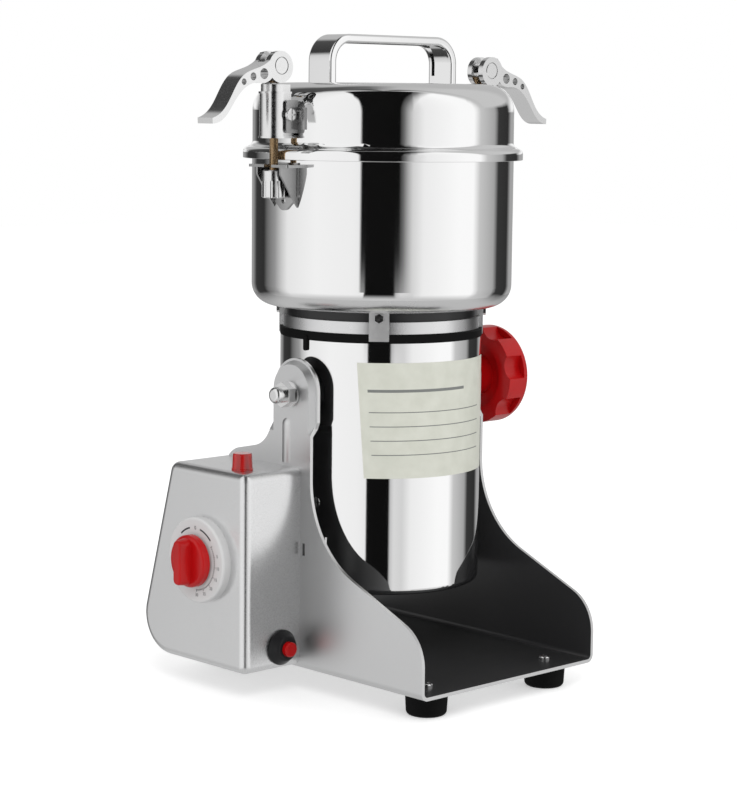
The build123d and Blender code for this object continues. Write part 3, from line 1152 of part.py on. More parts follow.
# ---------------------------------------------------------------- quick clamps
def sleeve_section(radius):
    """Plan view of the sleeve: a round nose with a flat towards the lid."""
    nose = Pos(CLAMP_X, 0) * Circle(radius)
    flat = Pos((SLEEVE_FLAT_X + CLAMP_X) / 2, 0) * Rectangle(CLAMP_X - SLEEVE_FLAT_X, 2 * radius)
    cut = Pos(SLEEVE_FLAT_X - 10, 0) * Rectangle(20, 4 * radius)
    return nose + flat - cut


def clamp_sleeve():
    body = extrude(Pos(0, 0, SLEEVE_Z) * sleeve_section(SLEEVE_R), amount=COLLAR_Z - SLEEVE_Z)
    for low in (SLEEVE_Z, COLLAR_Z - SLEEVE_FLANGE_T):
        body += extrude(Pos(0, 0, low) * sleeve_section(SLEEVE_FLANGE_R), amount=SLEEVE_FLANGE_T)
    body -= rod_z(CLAMP_ROD_R + RUN, SLEEVE_Z - 1, COLLAR_Z + 1, CLAMP_X)
    for low, high in ((-SLEEVE_R - 1, -CLAMP_SCREW_TIP_Y + 0.3), (CLAMP_SCREW_TIP_Y - 0.3, SLEEVE_R + 1)):
        body -= rod_y(CLAMP_SCREW_R + RUN, low, high, SWING_X, SWING_Z)
    return body


def clamp_collar():
    body = extrude(Pos(0, 0, COLLAR_Z) * sleeve_section(COLLAR_R), amount=COLLAR_H)
    body = chamfer(body.faces().sort_by(Axis.Z)[-1].edges(), 0.7)
    return body - rod_z(CLAMP_ROD_R + RUN, COLLAR_Z - 1, COLLAR_Z + COLLAR_H + 1, CLAMP_X)


def clamp_rod():
    """T-bolt: a threaded rod with a cross pin for the cam lever."""
    pin = rod_y(PIN_R, -LEVER_HALF_W, LEVER_HALF_W, CLAMP_X, PIN_Z)
    pin = chamfer(pin.edges().filter_by(GeomType.CIRCLE), 0.5)
    return pin + rod_z(CLAMP_ROD_R, NUT_Z, PIN_Z, CLAMP_X)


def clamp_nut():
    """Round thumb nut with a neck and flutes, under the bracket's shelf."""
    top = NUT_Z + NUT_H
    flute = rod_z(NUT_FLUTE_R, NUT_Z - 1, top - NUT_NECK_H, NUT_R + NUT_FLUTE_R * 0.55)
    body = rod_z(NUT_R, NUT_Z, top, CLAMP_X)
    body = chamfer(body.edges().filter_by(GeomType.CIRCLE), 0.6)
    body -= [Pos(CLAMP_X, 0, 0) * piece for piece in around(flute, NUT_FLUTES)]
    return body - rod_z(CLAMP_ROD_R + FIT, NUT_Z - 1, top + 1, CLAMP_X)


def clamp_lever():
    """Cam lever with a forked head, seen from the side as an S."""
    back = Spline(*LEVER_BACK)
    front = Spline(*LEVER_FRONT)
    tip = Line(LEVER_BACK[-1], LEVER_FRONT[0])
    root = Line(LEVER_FRONT[-1], LEVER_BACK[0])
    grip = make_face([back, tip, front, root])
    cam_u = CAM_OFFSET / tan(radians(CAM_RANGE_DEG / 2))
    profile = grip + Pos(cam_u, -CAM_OFFSET) * Circle(CAM_R)
    for u, w, radius in LEVER_HOLES:
        profile -= Pos(u, w) * Circle(radius)
    body = front_prism(Pos(CLAMP_X, PIN_Z) * profile, -LEVER_HALF_W, LEVER_HALF_W)
    slot = block(CLAMP_X - 2 * CAM_R, CLAMP_X + LEVER_SLOT_OUT, -LEVER_SLOT_HALF_W, LEVER_SLOT_HALF_W,
                 PIN_Z - 2 * CAM_R, PIN_Z + 2 * CAM_R)
    return body - slot - rod_y(PIN_R + RUN, -LEVER_HALF_W - 1, LEVER_HALF_W + 1, CLAMP_X, PIN_Z)


CLAMP_PIECES = {"sleeve": clamp_sleeve, "collar": clamp_collar, "rod": clamp_rod,
                "nut": clamp_nut, "lever": clamp_lever}

PIECES = {
    "base_bracket": base_bracket, "feet": feet, "foot_screws": foot_screws, "ear_bushes": ear_bushes,
    "control_box": control_box, "box_screws": box_screws, "timer_body": timer_body,
    "dial_plate": dial_plate, "timer_knob": timer_knob, "indicator_lamp": indicator_lamp,
    "breaker_body": breaker_body, "reset_button": reset_button, "cable_gland": cable_gland,
    "barrel_shell": barrel_shell, "barrel_edging": barrel_edging, "motor_frame": motor_frame,
    "neck_collar": neck_collar, "neck_straps": neck_straps, "strap_bolts": strap_bolts,
    "pivot_studs": pivot_studs, "pivot_cap_nut": pivot_cap_nut, "tilt_knob": tilt_knob,
    "lower_motor_bracket": lower_motor_bracket, "brush_holders": brush_holders,
    "carbon_brushes": carbon_brushes, "stator_core": stator_core, "field_coils": field_coils,
    "motor_screws": motor_screws, "upper_bearing": upper_bearing, "lower_bearing": lower_bearing,
    "rotor_shaft": rotor_shaft, "armature_core": armature_core, "armature_windings": armature_windings,
    "commutator": commutator, "cooling_fan": cooling_fan, "lower_blade": lower_blade,
    "upper_blade": upper_blade, "blade_spacers": blade_spacers, "blade_nut": blade_nut,
    "bowl": bowl, "shaft_seal": shaft_seal, "clamp_brackets": clamp_brackets,
    "lid_shell": lid_shell, "lid_inner_plate": lid_inner_plate, "lid_gasket": lid_gasket,
    "lid_handle": lid_handle, "handle_screws": handle_screws, "clamp_ears": clamp_ears,
    "clamp_pivot_screws": clamp_pivot_screws,
}


def all_pieces():
    """Every node's shape in the working frame."""
    shapes = {name: make() for name, make in PIECES.items()}
    for piece, make in CLAMP_PIECES.items():
        right = make()
        shapes["right_clamp_" + piece] = right
        shapes["left_clamp_" + piece] = to_left(right)
    return {name: as_compound(shape) for name, shape in shapes.items()}


shapes = all_pieces()
overall = as_compound(list(shapes.values())).bounding_box()
ORIGIN = Vector(overall.center().X, overall.center().Y, overall.min.Z)

os.makedirs("parts", exist_ok=True)
for name, shape in shapes.items():
    export_step(shape.moved(Location(-ORIGIN)), f"parts/{name}.step")
print("origin in the working frame:", ORIGIN)
print("overall size:", overall.size)
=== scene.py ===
"""Looks of the electric grain mill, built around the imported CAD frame."""
import math

import bmesh
import bpy
from mathutils import Matrix, Vector


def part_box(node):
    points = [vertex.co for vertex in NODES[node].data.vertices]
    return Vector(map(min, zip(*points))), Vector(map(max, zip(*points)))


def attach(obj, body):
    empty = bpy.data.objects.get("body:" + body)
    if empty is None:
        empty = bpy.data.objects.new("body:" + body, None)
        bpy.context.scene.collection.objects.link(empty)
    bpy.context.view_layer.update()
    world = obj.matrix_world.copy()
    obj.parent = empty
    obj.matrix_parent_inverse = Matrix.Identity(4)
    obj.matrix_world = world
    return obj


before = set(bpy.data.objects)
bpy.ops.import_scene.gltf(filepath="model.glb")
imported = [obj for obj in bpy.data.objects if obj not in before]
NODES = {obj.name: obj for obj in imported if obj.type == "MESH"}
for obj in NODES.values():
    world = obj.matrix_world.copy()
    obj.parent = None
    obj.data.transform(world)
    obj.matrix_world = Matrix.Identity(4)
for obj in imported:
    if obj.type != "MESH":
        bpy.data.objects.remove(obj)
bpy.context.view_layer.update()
MM = 0.001

# ---------------------------------------------------------------- places read from the frame
BARREL_LOW, BARREL_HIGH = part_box("barrel_shell")
AXIS_X = (BARREL_LOW.x + BARREL_HIGH.x) / 2
AXIS_Y = (BARREL_LOW.y + BARREL_HIGH.y) / 2
BARREL_R = (BARREL_HIGH.x - BARREL_LOW.x) / 2

# ---------------------------------------------------------------- the photograph's camera
CAMERA_AZIMUTH = math.radians(43.648)
CAMERA_ELEVATION = math.radians(7.394)
CAMERA_ROLL = math.radians(0.604)
CAMERA_FOCAL_PX = 2300.5
IMAGE_HEIGHT_PX = 800
SENSOR_MM = 36.0
CAMERA_FROM_BARREL_TOP = Vector((-921.1, -955.8, 133.26)) * MM


# ================================================================ node helpers
class Shader:
    """A material or world node tree with short calls for the nodes used here."""

    def __init__(self, owner):
        owner.use_nodes = True
        self.tree = owner.node_tree
        self.tree.nodes.clear()

    def node(self, kind, **settings):
        made = self.tree.nodes.new(kind)
        for key, value in settings.items():
            setattr(made, key, value)
        return made

    def link(self, source, target):
        self.tree.links.new(source, target)

    def feed(self, socket, value):
        """Set a socket to a number or colour, or link another socket to it."""
        if isinstance(value, bpy.types.NodeSocket):
            self.link(value, socket)
        else:
            socket.default_value = value

    def math(self, operation, a, b):
        made = self.node("ShaderNodeMath", operation=operation)
        self.feed(made.inputs[0], a)
        self.feed(made.inputs[1], b)
        return made.outputs[0]

    def ramp(self, factor, stops):
        """Colour ramp from (position, grey or colour) stops."""
        made = self.node("ShaderNodeValToRGB")
        elements = made.color_ramp.elements
        while len(elements) < len(stops):
            elements.new(1.0)
        for element, (position, value) in zip(elements, stops):
            colour = value if isinstance(value, tuple) else (value, value, value)
            element.position = position
            element.color = (*colour, 1)
        self.feed(made.inputs[0], factor)
        return made.outputs[0]

    def mix(self, factor, a, b):
        made = self.node("ShaderNodeMix", data_type="RGBA")
        self.feed(made.inputs[0], factor)
        self.feed(made.inputs[6], a if isinstance(a, bpy.types.NodeSocket) else (*a, 1))
        self.feed(made.inputs[7], b if isinstance(b, bpy.types.NodeSocket) else (*b, 1))
        return made.outputs[2]

    def range(self, value, low, high):
        """Map 0..1 to low..high."""
        made = self.node("ShaderNodeMapRange")
        self.feed(made.inputs["Value"], value)
        made.inputs["To Min"].default_value = low
        made.inputs["To Max"].default_value = high
        return made.outputs[0]

    def toned(self, colour, brightness):
        """A colour times a brightness that varies over the surface."""
        made = self.node("ShaderNodeHueSaturation")
        made.inputs["Color"].default_value = (*colour, 1)
        self.link(brightness, made.inputs["Value"])
        return made.outputs[0]

    def place(self, scale=(1, 1, 1)):
        """Object coordinates, scaled per axis."""
        coordinates = self.node("ShaderNodeTexCoord").outputs["Object"]
        made = self.node("ShaderNodeMapping")
        made.inputs["Scale"].default_value = scale
        self.link(coordinates, made.inputs["Vector"])
        return made.outputs[0]

    def noise(self, scale, detail, stretch=(1, 1, 1)):
        made = self.node("ShaderNodeTexNoise")
        made.inputs["Scale"].default_value = scale
        made.inputs["Detail"].default_value = detail
        self.link(self.place(stretch), made.inputs["Vector"])
        return made.outputs["Fac"]

    def bump(self, height, distance, strength, after=None):
        made = self.node("ShaderNodeBump")
        made.inputs["Distance"].default_value = distance
        made.inputs["Strength"].default_value = strength
        self.link(height, made.inputs["Height"])
        if after is not None:
            self.link(after, made.inputs["Normal"])
        return made.outputs[0]

    def surface(self, **inputs):
        """Principled shader to the output; names use _ for spaces."""
        made = self.node("ShaderNodeBsdfPrincipled")
        for key, value in inputs.items():
            name = key.replace("_", " ")
            if isinstance(value, tuple) and made.inputs[name].type == "RGBA":
                value = (*value, 1)
            self.feed(made.inputs[name], value)
        output = self.node("ShaderNodeOutputMaterial")
        self.link(made.outputs[0], output.inputs["Surface"])


# ================================================================ surfaces
THREAD_PITCH = 0.8 * MM
THREAD_WAVE_SCALE = math.pi / 10 / THREAD_PITCH     # one wave is pi / 10 long at a scale of 1


def polished_metal(s, colour, smooth=0.03, dull=0.07):
    """Mirror polish with faint wiping marks and slow changes of gloss."""
    smears = s.noise(38, 4, (1, 1, 0.35))
    haze = s.noise(9, 3)
    grain = s.noise(2600, 1, (1, 1, 0.12))
    s.surface(Base_Color=colour, Metallic=1.0,
              Roughness=s.range(s.math("MULTIPLY", smears, haze), smooth, dull + smooth),
              Normal=s.bump(grain, 0.000004, 0.25))


def brushed_metal(s, colour, roughness=0.28, stretch=(1, 1, 60), scale=700):
    """Satin metal with fine lines along the stretched axis."""
    lines = s.noise(scale, 3, stretch)
    s.surface(Base_Color=s.toned(colour, s.range(s.noise(25, 2), 0.92, 1.04)), Metallic=1.0,
              Roughness=s.range(lines, roughness * 0.75, roughness * 1.3),
              Normal=s.bump(lines, 0.00003, 0.35))


def plated_metal(s, colour, roughness=0.16):
    """Zinc or chrome plated small part: bright, with a slightly uneven skin."""
    cells = s.noise(420, 3)
    s.surface(Base_Color=colour, Metallic=1.0,
              Roughness=s.range(cells, roughness * 0.6, roughness * 1.7),
              Normal=s.bump(cells, 0.00002, 0.3))


def cast_metal(s, colour, roughness=0.3):
    """Polished casting: soft waviness and a few tiny pits."""
    wave = s.noise(95, 3)
    pits = s.ramp(s.noise(1500, 2), [(0.0, 0.0), (0.33, 0.0), (0.4, 1.0)])
    skin = s.bump(wave, 0.00012, 0.3)
    s.surface(Base_Color=colour, Metallic=1.0,
              Roughness=s.range(wave, roughness * 0.7, roughness * 1.2),
              Normal=s.bump(pits, 0.00002, 0.25, after=skin))


def silver_paint(s, colour, roughness):
    """Sprayed aluminium paint: metal flakes under a thin satin lacquer, faint orange peel."""
    flakes = s.noise(5200, 1)
    tone = s.range(flakes, 0.86, 1.12)
    slow = s.range(s.noise(14, 2), 0.97, 1.03)
    s.surface(Base_Color=s.toned(colour, s.math("MULTIPLY", tone, slow)), Metallic=0.97,
              Roughness=s.range(flakes, roughness * 0.85, roughness * 1.2),
              Coat_Weight=0.08, Coat_Roughness=0.2,
              Normal=s.bump(s.noise(650, 2), 0.00002, 0.3))


def black_paint(s, colour, roughness):
    """Satin black paint."""
    grain = s.noise(1800, 2)
    s.surface(Base_Color=colour,
              Roughness=s.range(s.noise(30, 2), roughness * 0.85, roughness * 1.15),
              Normal=s.bump(grain, 0.00002, 0.35))


def plastic(s, colour, roughness, grain, coat=0.0):
    """Moulded plastic with a fine skin."""
    skin = s.noise(900, 2)
    slow = s.noise(60, 2)
    s.surface(Base_Color=colour, Roughness=s.range(slow, roughness * 0.8, roughness * 1.25),
              Specular_IOR_Level=0.2, Coat_Weight=coat, Coat_Roughness=0.08,
              Normal=s.bump(skin, 0.00002, grain))


def red_plastic(s):
    """Glossy red moulding, a little darker in its depths."""
    slow = s.noise(45, 2)
    colour = s.ramp(slow, [(0.25, (0.40, 0.002, 0.003)), (0.75, (0.52, 0.004, 0.005))])
    s.surface(Base_Color=colour, Roughness=s.range(slow, 0.24, 0.36), Specular_IOR_Level=0.3,
              Coat_Weight=0.12, Coat_Roughness=0.08,
              Normal=s.bump(s.noise(700, 2), 0.00002, 0.15))


def red_lens(s):
    """Translucent red lamp cap, fluted inside."""
    flutes = s.noise(300, 1, (1, 1, 0.02))
    colour = s.ramp(flutes, [(0.3, (0.28, 0.0, 0.0)), (0.65, (0.62, 0.006, 0.005))])
    s.surface(Base_Color=colour, Roughness=0.22, Transmission_Weight=0.25, IOR=1.49,
              Coat_Weight=0.6, Coat_Roughness=0.06, Normal=s.bump(flutes, 0.0002, 0.3))


def rubber(s, colour, roughness):
    """Dull rubber with a fine grain."""
    grain = s.noise(1400, 3)
    s.surface(Base_Color=colour, Roughness=s.range(grain, roughness * 0.85, roughness * 1.15),
              Specular_IOR_Level=0.06, Normal=s.bump(grain, 0.00004, 0.4))


def plated_thread(s):
    """Yellow passivated screw steel with a fine thread."""
    stain = s.noise(160, 3)
    colour = s.ramp(stain, [(0.3, (0.42, 0.26, 0.12)), (0.7, (0.66, 0.48, 0.29))])
    turns = s.node("ShaderNodeTexWave", wave_type="BANDS", bands_direction="Z", wave_profile="TRI")
    turns.inputs["Scale"].default_value = THREAD_WAVE_SCALE
    s.link(s.place(), turns.inputs["Vector"])
    s.surface(Base_Color=colour, Metallic=1.0, Roughness=s.range(stain, 0.2, 0.34),
              Normal=s.bump(turns.outputs["Fac"], 0.0004, 0.8))


def copper(s):
    """Enamelled wire laid in rings."""
    wires = s.noise(900, 2, (1, 1, 5))
    colour = s.ramp(wires, [(0.3, (0.30, 0.10, 0.045)), (0.7, (0.62, 0.26, 0.12))])
    s.surface(Base_Color=colour, Metallic=0.9, Roughness=0.3, Normal=s.bump(wires, 0.0001, 0.6))


def laminations(s):
    """Stacked electrical sheet."""
    sheets = s.noise(1500, 1, (0.01, 0.01, 1))
    s.surface(Base_Color=(0.16, 0.16, 0.165), Metallic=0.9, Roughness=0.45,
              Normal=s.bump(sheets, 0.00006, 0.6))


def label_foil(s):
    """Pale grey-green foil label with faint mottling."""
    mottle = s.noise(120, 3)
    colour = s.ramp(mottle, [(0.3, (0.63, 0.64, 0.56)), (0.7, (0.69, 0.70, 0.62))])
    s.surface(Base_Color=colour, Roughness=s.range(mottle, 0.34, 0.46),
              Normal=s.bump(s.noise(2200, 2), 0.00001, 0.3))


def ink(s, colour):
    """Printed ink."""
    s.surface(Base_Color=colour, Roughness=s.range(s.noise(500, 2), 0.45, 0.6))


# ================================================================ materials
EVEN = (1, 1, 1)        # satin metal without a direction
RECIPES = {
    "mirror_steel": (polished_metal, dict(colour=(0.90, 0.90, 0.90))),
    "satin_steel": (brushed_metal, dict(colour=(0.78, 0.78, 0.78))),
    "strap_steel": (brushed_metal, dict(colour=(0.86, 0.86, 0.86), roughness=0.46,
                                        stretch=EVEN, scale=900)),
    "turned_steel": (brushed_metal, dict(colour=(0.66, 0.66, 0.67), roughness=0.22,
                                         stretch=(1, 1, 14), scale=500)),
    "plated_steel": (plated_metal, dict(colour=(0.80, 0.80, 0.80))),
    "cast_alloy": (cast_metal, dict(colour=(0.74, 0.74, 0.745))),
    "lever_alloy": (plated_metal, dict(colour=(0.80, 0.80, 0.80), roughness=0.13)),
    # painted shade: a darkened copy of the plated steel, standing in for the shadow and dark
    # reflections on the clamp brackets and ears
    "shade_darkened_steel": (brushed_metal, dict(colour=(0.42, 0.42, 0.42), roughness=0.22,
                                       stretch=EVEN, scale=900)),
    "silver_paint": (silver_paint, dict(colour=(0.80, 0.802, 0.805), roughness=0.27)),
    "base_paint": (silver_paint, dict(colour=(0.74, 0.742, 0.745), roughness=0.40)),
    "under_steel": (polished_metal, dict(colour=(0.80, 0.80, 0.80), smooth=0.24, dull=0.10)),
    "bare_edge": (brushed_metal, dict(colour=(0.72, 0.72, 0.72), roughness=0.3,
                                      stretch=EVEN, scale=900)),
    "black_paint": (black_paint, dict(colour=(0.026, 0.026, 0.027), roughness=0.33)),
    "neck_black": (black_paint, dict(colour=(0.008, 0.008, 0.009), roughness=0.3)),
    "red_plastic": (red_plastic, {}),
    "red_lens": (red_lens, {}),
    "dial_silver": (plastic, dict(colour=(0.66, 0.66, 0.66), roughness=0.32, grain=0.1, coat=0.1)),
    "black_plastic": (plastic, dict(colour=(0.014, 0.014, 0.015), roughness=0.3, grain=0.2)),
    "white_rubber": (rubber, dict(colour=(0.62, 0.60, 0.55), roughness=0.5)),
    "black_rubber": (rubber, dict(colour=(0.006, 0.006, 0.006), roughness=0.55)),
    "plated_thread": (plated_thread, {}),
    "copper": (copper, {}),
    "laminations": (laminations, {}),
    "carbon": (plastic, dict(colour=(0.03, 0.03, 0.032), roughness=0.6, grain=0.4)),
    "label": (label_foil, {}),
    "dark_ink": (ink, dict(colour=(0.02, 0.02, 0.025))),
    "grey_ink": (ink, dict(colour=(0.20, 0.21, 0.20))),
}

LOOKS = {
    "mirror_steel": ["barrel_shell", "bowl", "lid_shell", "lid_handle"],
    "strap_steel": ["neck_straps"],
    "satin_steel": ["lid_inner_plate", "lower_blade", "upper_blade", "blade_spacers"],
    "turned_steel": ["rotor_shaft", "upper_bearing", "lower_bearing"],
    "plated_steel": ["foot_screws", "box_screws", "strap_bolts", "pivot_studs", "pivot_cap_nut",
                     "motor_screws", "blade_nut", "handle_screws", "clamp_pivot_screws",
                     "left_clamp_sleeve", "left_clamp_collar", "left_clamp_nut",
                     "right_clamp_sleeve", "right_clamp_collar", "right_clamp_nut"],
    "cast_alloy": ["motor_frame", "lower_motor_bracket"],
    "lever_alloy": ["left_clamp_lever", "right_clamp_lever"],
    # the clamp brackets and ears wear the darkened steel, a painted shade
    "shade_darkened_steel": ["clamp_brackets", "clamp_ears"],
    "silver_paint": ["control_box"],
    "base_paint": ["base_bracket"],
    "neck_black": ["neck_collar"],
    "red_plastic": ["timer_knob", "reset_button", "tilt_knob"],
    "red_lens": ["indicator_lamp"],
    "dial_silver": ["dial_plate"],
    "black_plastic": ["ear_bushes", "timer_body", "breaker_body", "cable_gland", "brush_holders",
                      "cooling_fan"],
    "black_rubber": ["feet", "barrel_edging", "shaft_seal"],
    "white_rubber": ["lid_gasket"],
    "plated_thread": ["left_clamp_rod", "right_clamp_rod"],
    "copper": ["field_coils", "armature_windings", "commutator"],
    "laminations": ["stator_core", "armature_core"],
    "carbon": ["carbon_brushes"],
}


def material(name, build, settings):
    made = bpy.data.materials.new(name)
    build(Shader(made), **settings)
    return made


MATERIALS = {name: material(name, *recipe) for name, recipe in RECIPES.items()}


def dress_nodes():
    """Give every CAD node its material."""
    for look, names in LOOKS.items():
        for name in names:
            slots = NODES[name].data.materials
            slots.clear()
            slots.append(MATERIALS[look])
    left = set(NODES) - {name for names in LOOKS.values() for name in names}
    assert not left, left


# ---------------------------------------------------------------- nodes with two or three looks
TRAY_HALF_W = 68.2 * MM         # just past the inner faces of the base's two walls
TRAY_FLOOR_H = 3.4 * MM         # just past the thickness of its floor
SLOT_BEFORE_BOX = 3.0 * MM      # the wall has a slot just in front of the control box; its cut faces are painted black as painted shade
SLOT_Z = 80.0 * MM
SLOT_HALF_W = 1.5 * MM
SLOT_HALF_H = 18.0 * MM
FACING = 0.3                    # a face looks along an axis when its normal has this share there
UNDERSIDE = -0.5                # lower than this, a face is on the underside
BOWL_BOTTOM = -0.4              # lower than this, a face belongs to the bowl's bottom


def line_tray():
    """Black inside the folded base, silver outside, bare cut edges; the wall's slot is painted
    shade.
    """
    mesh = NODES["base_bracket"].data
    mesh.materials.append(MATERIALS["black_paint"])
    mesh.materials.append(MATERIALS["bare_edge"])
    floor_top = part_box("base_bracket")[0].z + TRAY_FLOOR_H
    slot_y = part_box("control_box")[0].y - SLOT_BEFORE_BOX
    for face in mesh.polygons:
        centre, normal = face.center, face.normal
        inward = -normal.x * math.copysign(1, centre.x - AXIS_X)
        lines_tray = inward > FACING or (normal.z > FACING and centre.z < floor_top)
        edge = abs(normal.x) < FACING
        in_slot = abs(centre.y - slot_y) < SLOT_HALF_W and abs(centre.z - SLOT_Z) < SLOT_HALF_H
        # the slot's cut faces take the black paint: painted shade inside the slot
        if (abs(centre.x - AXIS_X) < TRAY_HALF_W and lines_tray) or (edge and in_slot):
            face.material_index = 1
        elif edge and normal.z > UNDERSIDE:
            face.material_index = 2


def dull_bowl_bottom():
    """The bowl's pressed bottom is satin, and its wall is mirror polished."""
    mesh = NODES["bowl"].data
    mesh.materials.append(MATERIALS["under_steel"])
    for face in mesh.polygons:
        if face.normal.z < BOWL_BOTTOM:
            face.material_index = 1


def plate_rod_heads():
    """The rods are yellow screw steel below and bright steel at the head and cross pin."""
    for side in ("left", "right"):
        mesh = NODES[side + "_clamp_rod"].data
        mesh.materials.append(MATERIALS["lever_alloy"])
        head_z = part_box(side + "_clamp_collar")[1].z
        for face in mesh.polygons:
            if face.center.z > head_z:
                face.material_index = 1


# ================================================================ mesh helpers
SHARP_ANGLE = math.radians(35)


def add_object(name, data):
    made = bpy.data.objects.new(name, data)
    bpy.context.scene.collection.objects.link(made)
    return made


def add_mesh(name, vertices, faces, look, body):
    """A piece of its own that rides on a body."""
    mesh = bpy.data.meshes.new(name)
    mesh.from_pydata(vertices, [], faces)
    mesh.update()
    mesh.materials.append(MATERIALS[look])
    mesh.polygons.foreach_set("use_smooth", [True] * len(mesh.polygons))
    mesh.set_sharp_from_angle(angle=SHARP_ANGLE)
    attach(add_object(name, mesh), body)


def grid_faces(rows, columns):
    """Quads over a grid whose vertex (i, j) is number i * columns + j."""
    faces = []
    for i in range(rows - 1):
        for j in range(columns - 1):
            a, b = i * columns + j, (i + 1) * columns + j
            faces.append((a, a + 1, b + 1, b))
    return faces


# ================================================================ label on the barrel
LABEL_TOP_Z = BARREL_HIGH.z - 10.8 * MM
LABEL_LOW_Z = LABEL_TOP_Z - 65.0 * MM
LABEL_LEFT_TOP = math.radians(-147.0)
LABEL_LEFT_LOW = math.radians(-142.5)
LABEL_RIGHT = math.radians(-50.0)
LABEL_LIFT = 0.02 * MM
LABEL_T = 0.16 * MM
LABEL_COLUMNS = 90
LABEL_ROWS = 14
CREASE_AT = math.radians(-121.5)
CREASE_HALF_W = 0.006           # radians
CREASE_H = 0.05 * MM
RULE_LIFT = LABEL_T + 0.03 * MM
RULE_T = 0.02 * MM
RULE_INSET = 5.0
RULE_COLUMNS = 60
# Each rule: its depth under the label's top and its thickness in mm, and its reach in degrees.
RULES = [(16.5, 1.6, 62.0), (28.0, 0.5, 80.0), (36.0, 0.5, 80.0), (44.0, 0.5, 80.0),
         (52.0, 0.5, 80.0)]


def on_barrel(angle, z, lift):
    radius = BARREL_R + lift
    return (AXIS_X + radius * math.cos(angle), AXIS_Y + radius * math.sin(angle), z)


def label_left(z):
    share = (z - LABEL_LOW_Z) / (LABEL_TOP_Z - LABEL_LOW_Z)
    return LABEL_LEFT_LOW + (LABEL_LEFT_TOP - LABEL_LEFT_LOW) * share


def label_patch(name, look, left, right, low, high, lift, thickness, columns, rows=2):
    """Curved slab on the barrel; left and right are functions of z."""
    places = []
    for i in range(rows):
        z = low + (high - low) * i / (rows - 1)
        for j in range(columns):
            places.append((left(z) + (right(z) - left(z)) * j / (columns - 1), z))
    vertices = []
    for angle, z in places:
        crease = CREASE_H * math.exp(-((angle - CREASE_AT) / CREASE_HALF_W) ** 2)
        vertices.append(on_barrel(angle, z, lift + thickness + crease))
    vertices += [on_barrel(angle, z, lift) for angle, z in places]
    under = len(places)
    faces = grid_faces(rows, columns)
    faces += [tuple(under + k for k in reversed(face)) for face in faces]
    rim = list(range(columns))
    rim += [i * columns + columns - 1 for i in range(1, rows)]
    rim += [(rows - 1) * columns + j for j in range(columns - 2, -1, -1)]
    rim += [i * columns for i in range(rows - 2, 0, -1)]
    for a, b in zip(rim, rim[1:] + rim[:1]):
        faces.append((b, a, under + a, under + b))
    add_mesh(name, vertices, faces, look, "mill")


def make_label():
    """Plain rating label: a blank foil with empty ruled lines, the first one thick."""
    label_patch("rating_label", "label", label_left, lambda z: LABEL_RIGHT,
                LABEL_LOW_Z, LABEL_TOP_Z, LABEL_LIFT, LABEL_T, LABEL_COLUMNS, LABEL_ROWS)
    for number, (down_mm, height_mm, end_deg) in enumerate(RULES):
        low = LABEL_TOP_Z - down_mm * MM
        end = LABEL_LEFT_TOP + math.radians(end_deg) + math.radians(RULE_INSET)
        label_patch(f"label_rule_{number + 1}", "grey_ink",
                    lambda z: label_left(z) + math.radians(RULE_INSET), lambda z: end,
                    low, low + height_mm * MM, RULE_LIFT, RULE_T, RULE_COLUMNS)


# ================================================================ dial markings
DIAL_LOW, DIAL_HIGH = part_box("dial_plate")
DIAL_X = DIAL_LOW.x
DIAL_Y = (DIAL_LOW.y + DIAL_HIGH.y) / 2
DIAL_Z = (DIAL_LOW.z + DIAL_HIGH.z) / 2
PRINT_LIFT = 0.06 * MM
ARC_R_IN, ARC_R_OUT = 18.0 * MM, 18.9 * MM
ARCS = [(-42, -15, 14), (13, 46, 16)]       # from and to in degrees, and the number of steps
MINUTES = 30
FIRST_MINUTE_DEG, LAST_MINUTE_DEG = 56, 176
TICK_R = 16.3 * MM
TICK_LONG, TICK_SHORT = 1.5 * MM, 0.9 * MM
TICK_HALF_DEG = 0.75
NUMBER_R, NUMBER_H = 19.7 * MM, 2.6 * MM
ZERO_R, ZERO_H = 18.4 * MM, 3.0 * MM
NUMBER_T = 0.02 * MM


def on_dial(radius, clockwise_deg, lift):
    """A point on the dial, seen from outside, clockwise from the top."""
    turn = math.radians(clockwise_deg)
    return (DIAL_X - lift, DIAL_Y - radius * math.sin(turn), DIAL_Z + radius * math.cos(turn))


def minute_deg(minute):
    return FIRST_MINUTE_DEG + (LAST_MINUTE_DEG - FIRST_MINUTE_DEG) * minute / MINUTES


def dial_stroke(vertices, faces, inner, outer, start_deg, end_deg, steps):
    """Add a printed arc or tick as a thin slab."""
    first = len(vertices)
    for lift in (PRINT_LIFT, 0.0):
        for k in range(steps + 1):
            turn = start_deg + (end_deg - start_deg) * k / steps
            vertices.append(on_dial(inner, turn, lift))
            vertices.append(on_dial(outer, turn, lift))
    layer = 2 * (steps + 1)
    for k in range(steps):
        a = first + 2 * k
        faces.append((a, a + 1, a + 3, a + 2))
        faces.append((a + layer, a + layer + 2, a + layer + 3, a + layer + 1))
        faces.append((a + 1, a + 1 + layer, a + 3 + layer, a + 3))
        faces.append((a, a + 2, a + 2 + layer, a + layer))
    last = first + 2 * steps
    faces.append((first, first + layer, first + 1 + layer, first + 1))
    faces.append((last, last + 1, last + 1 + layer, last + layer))


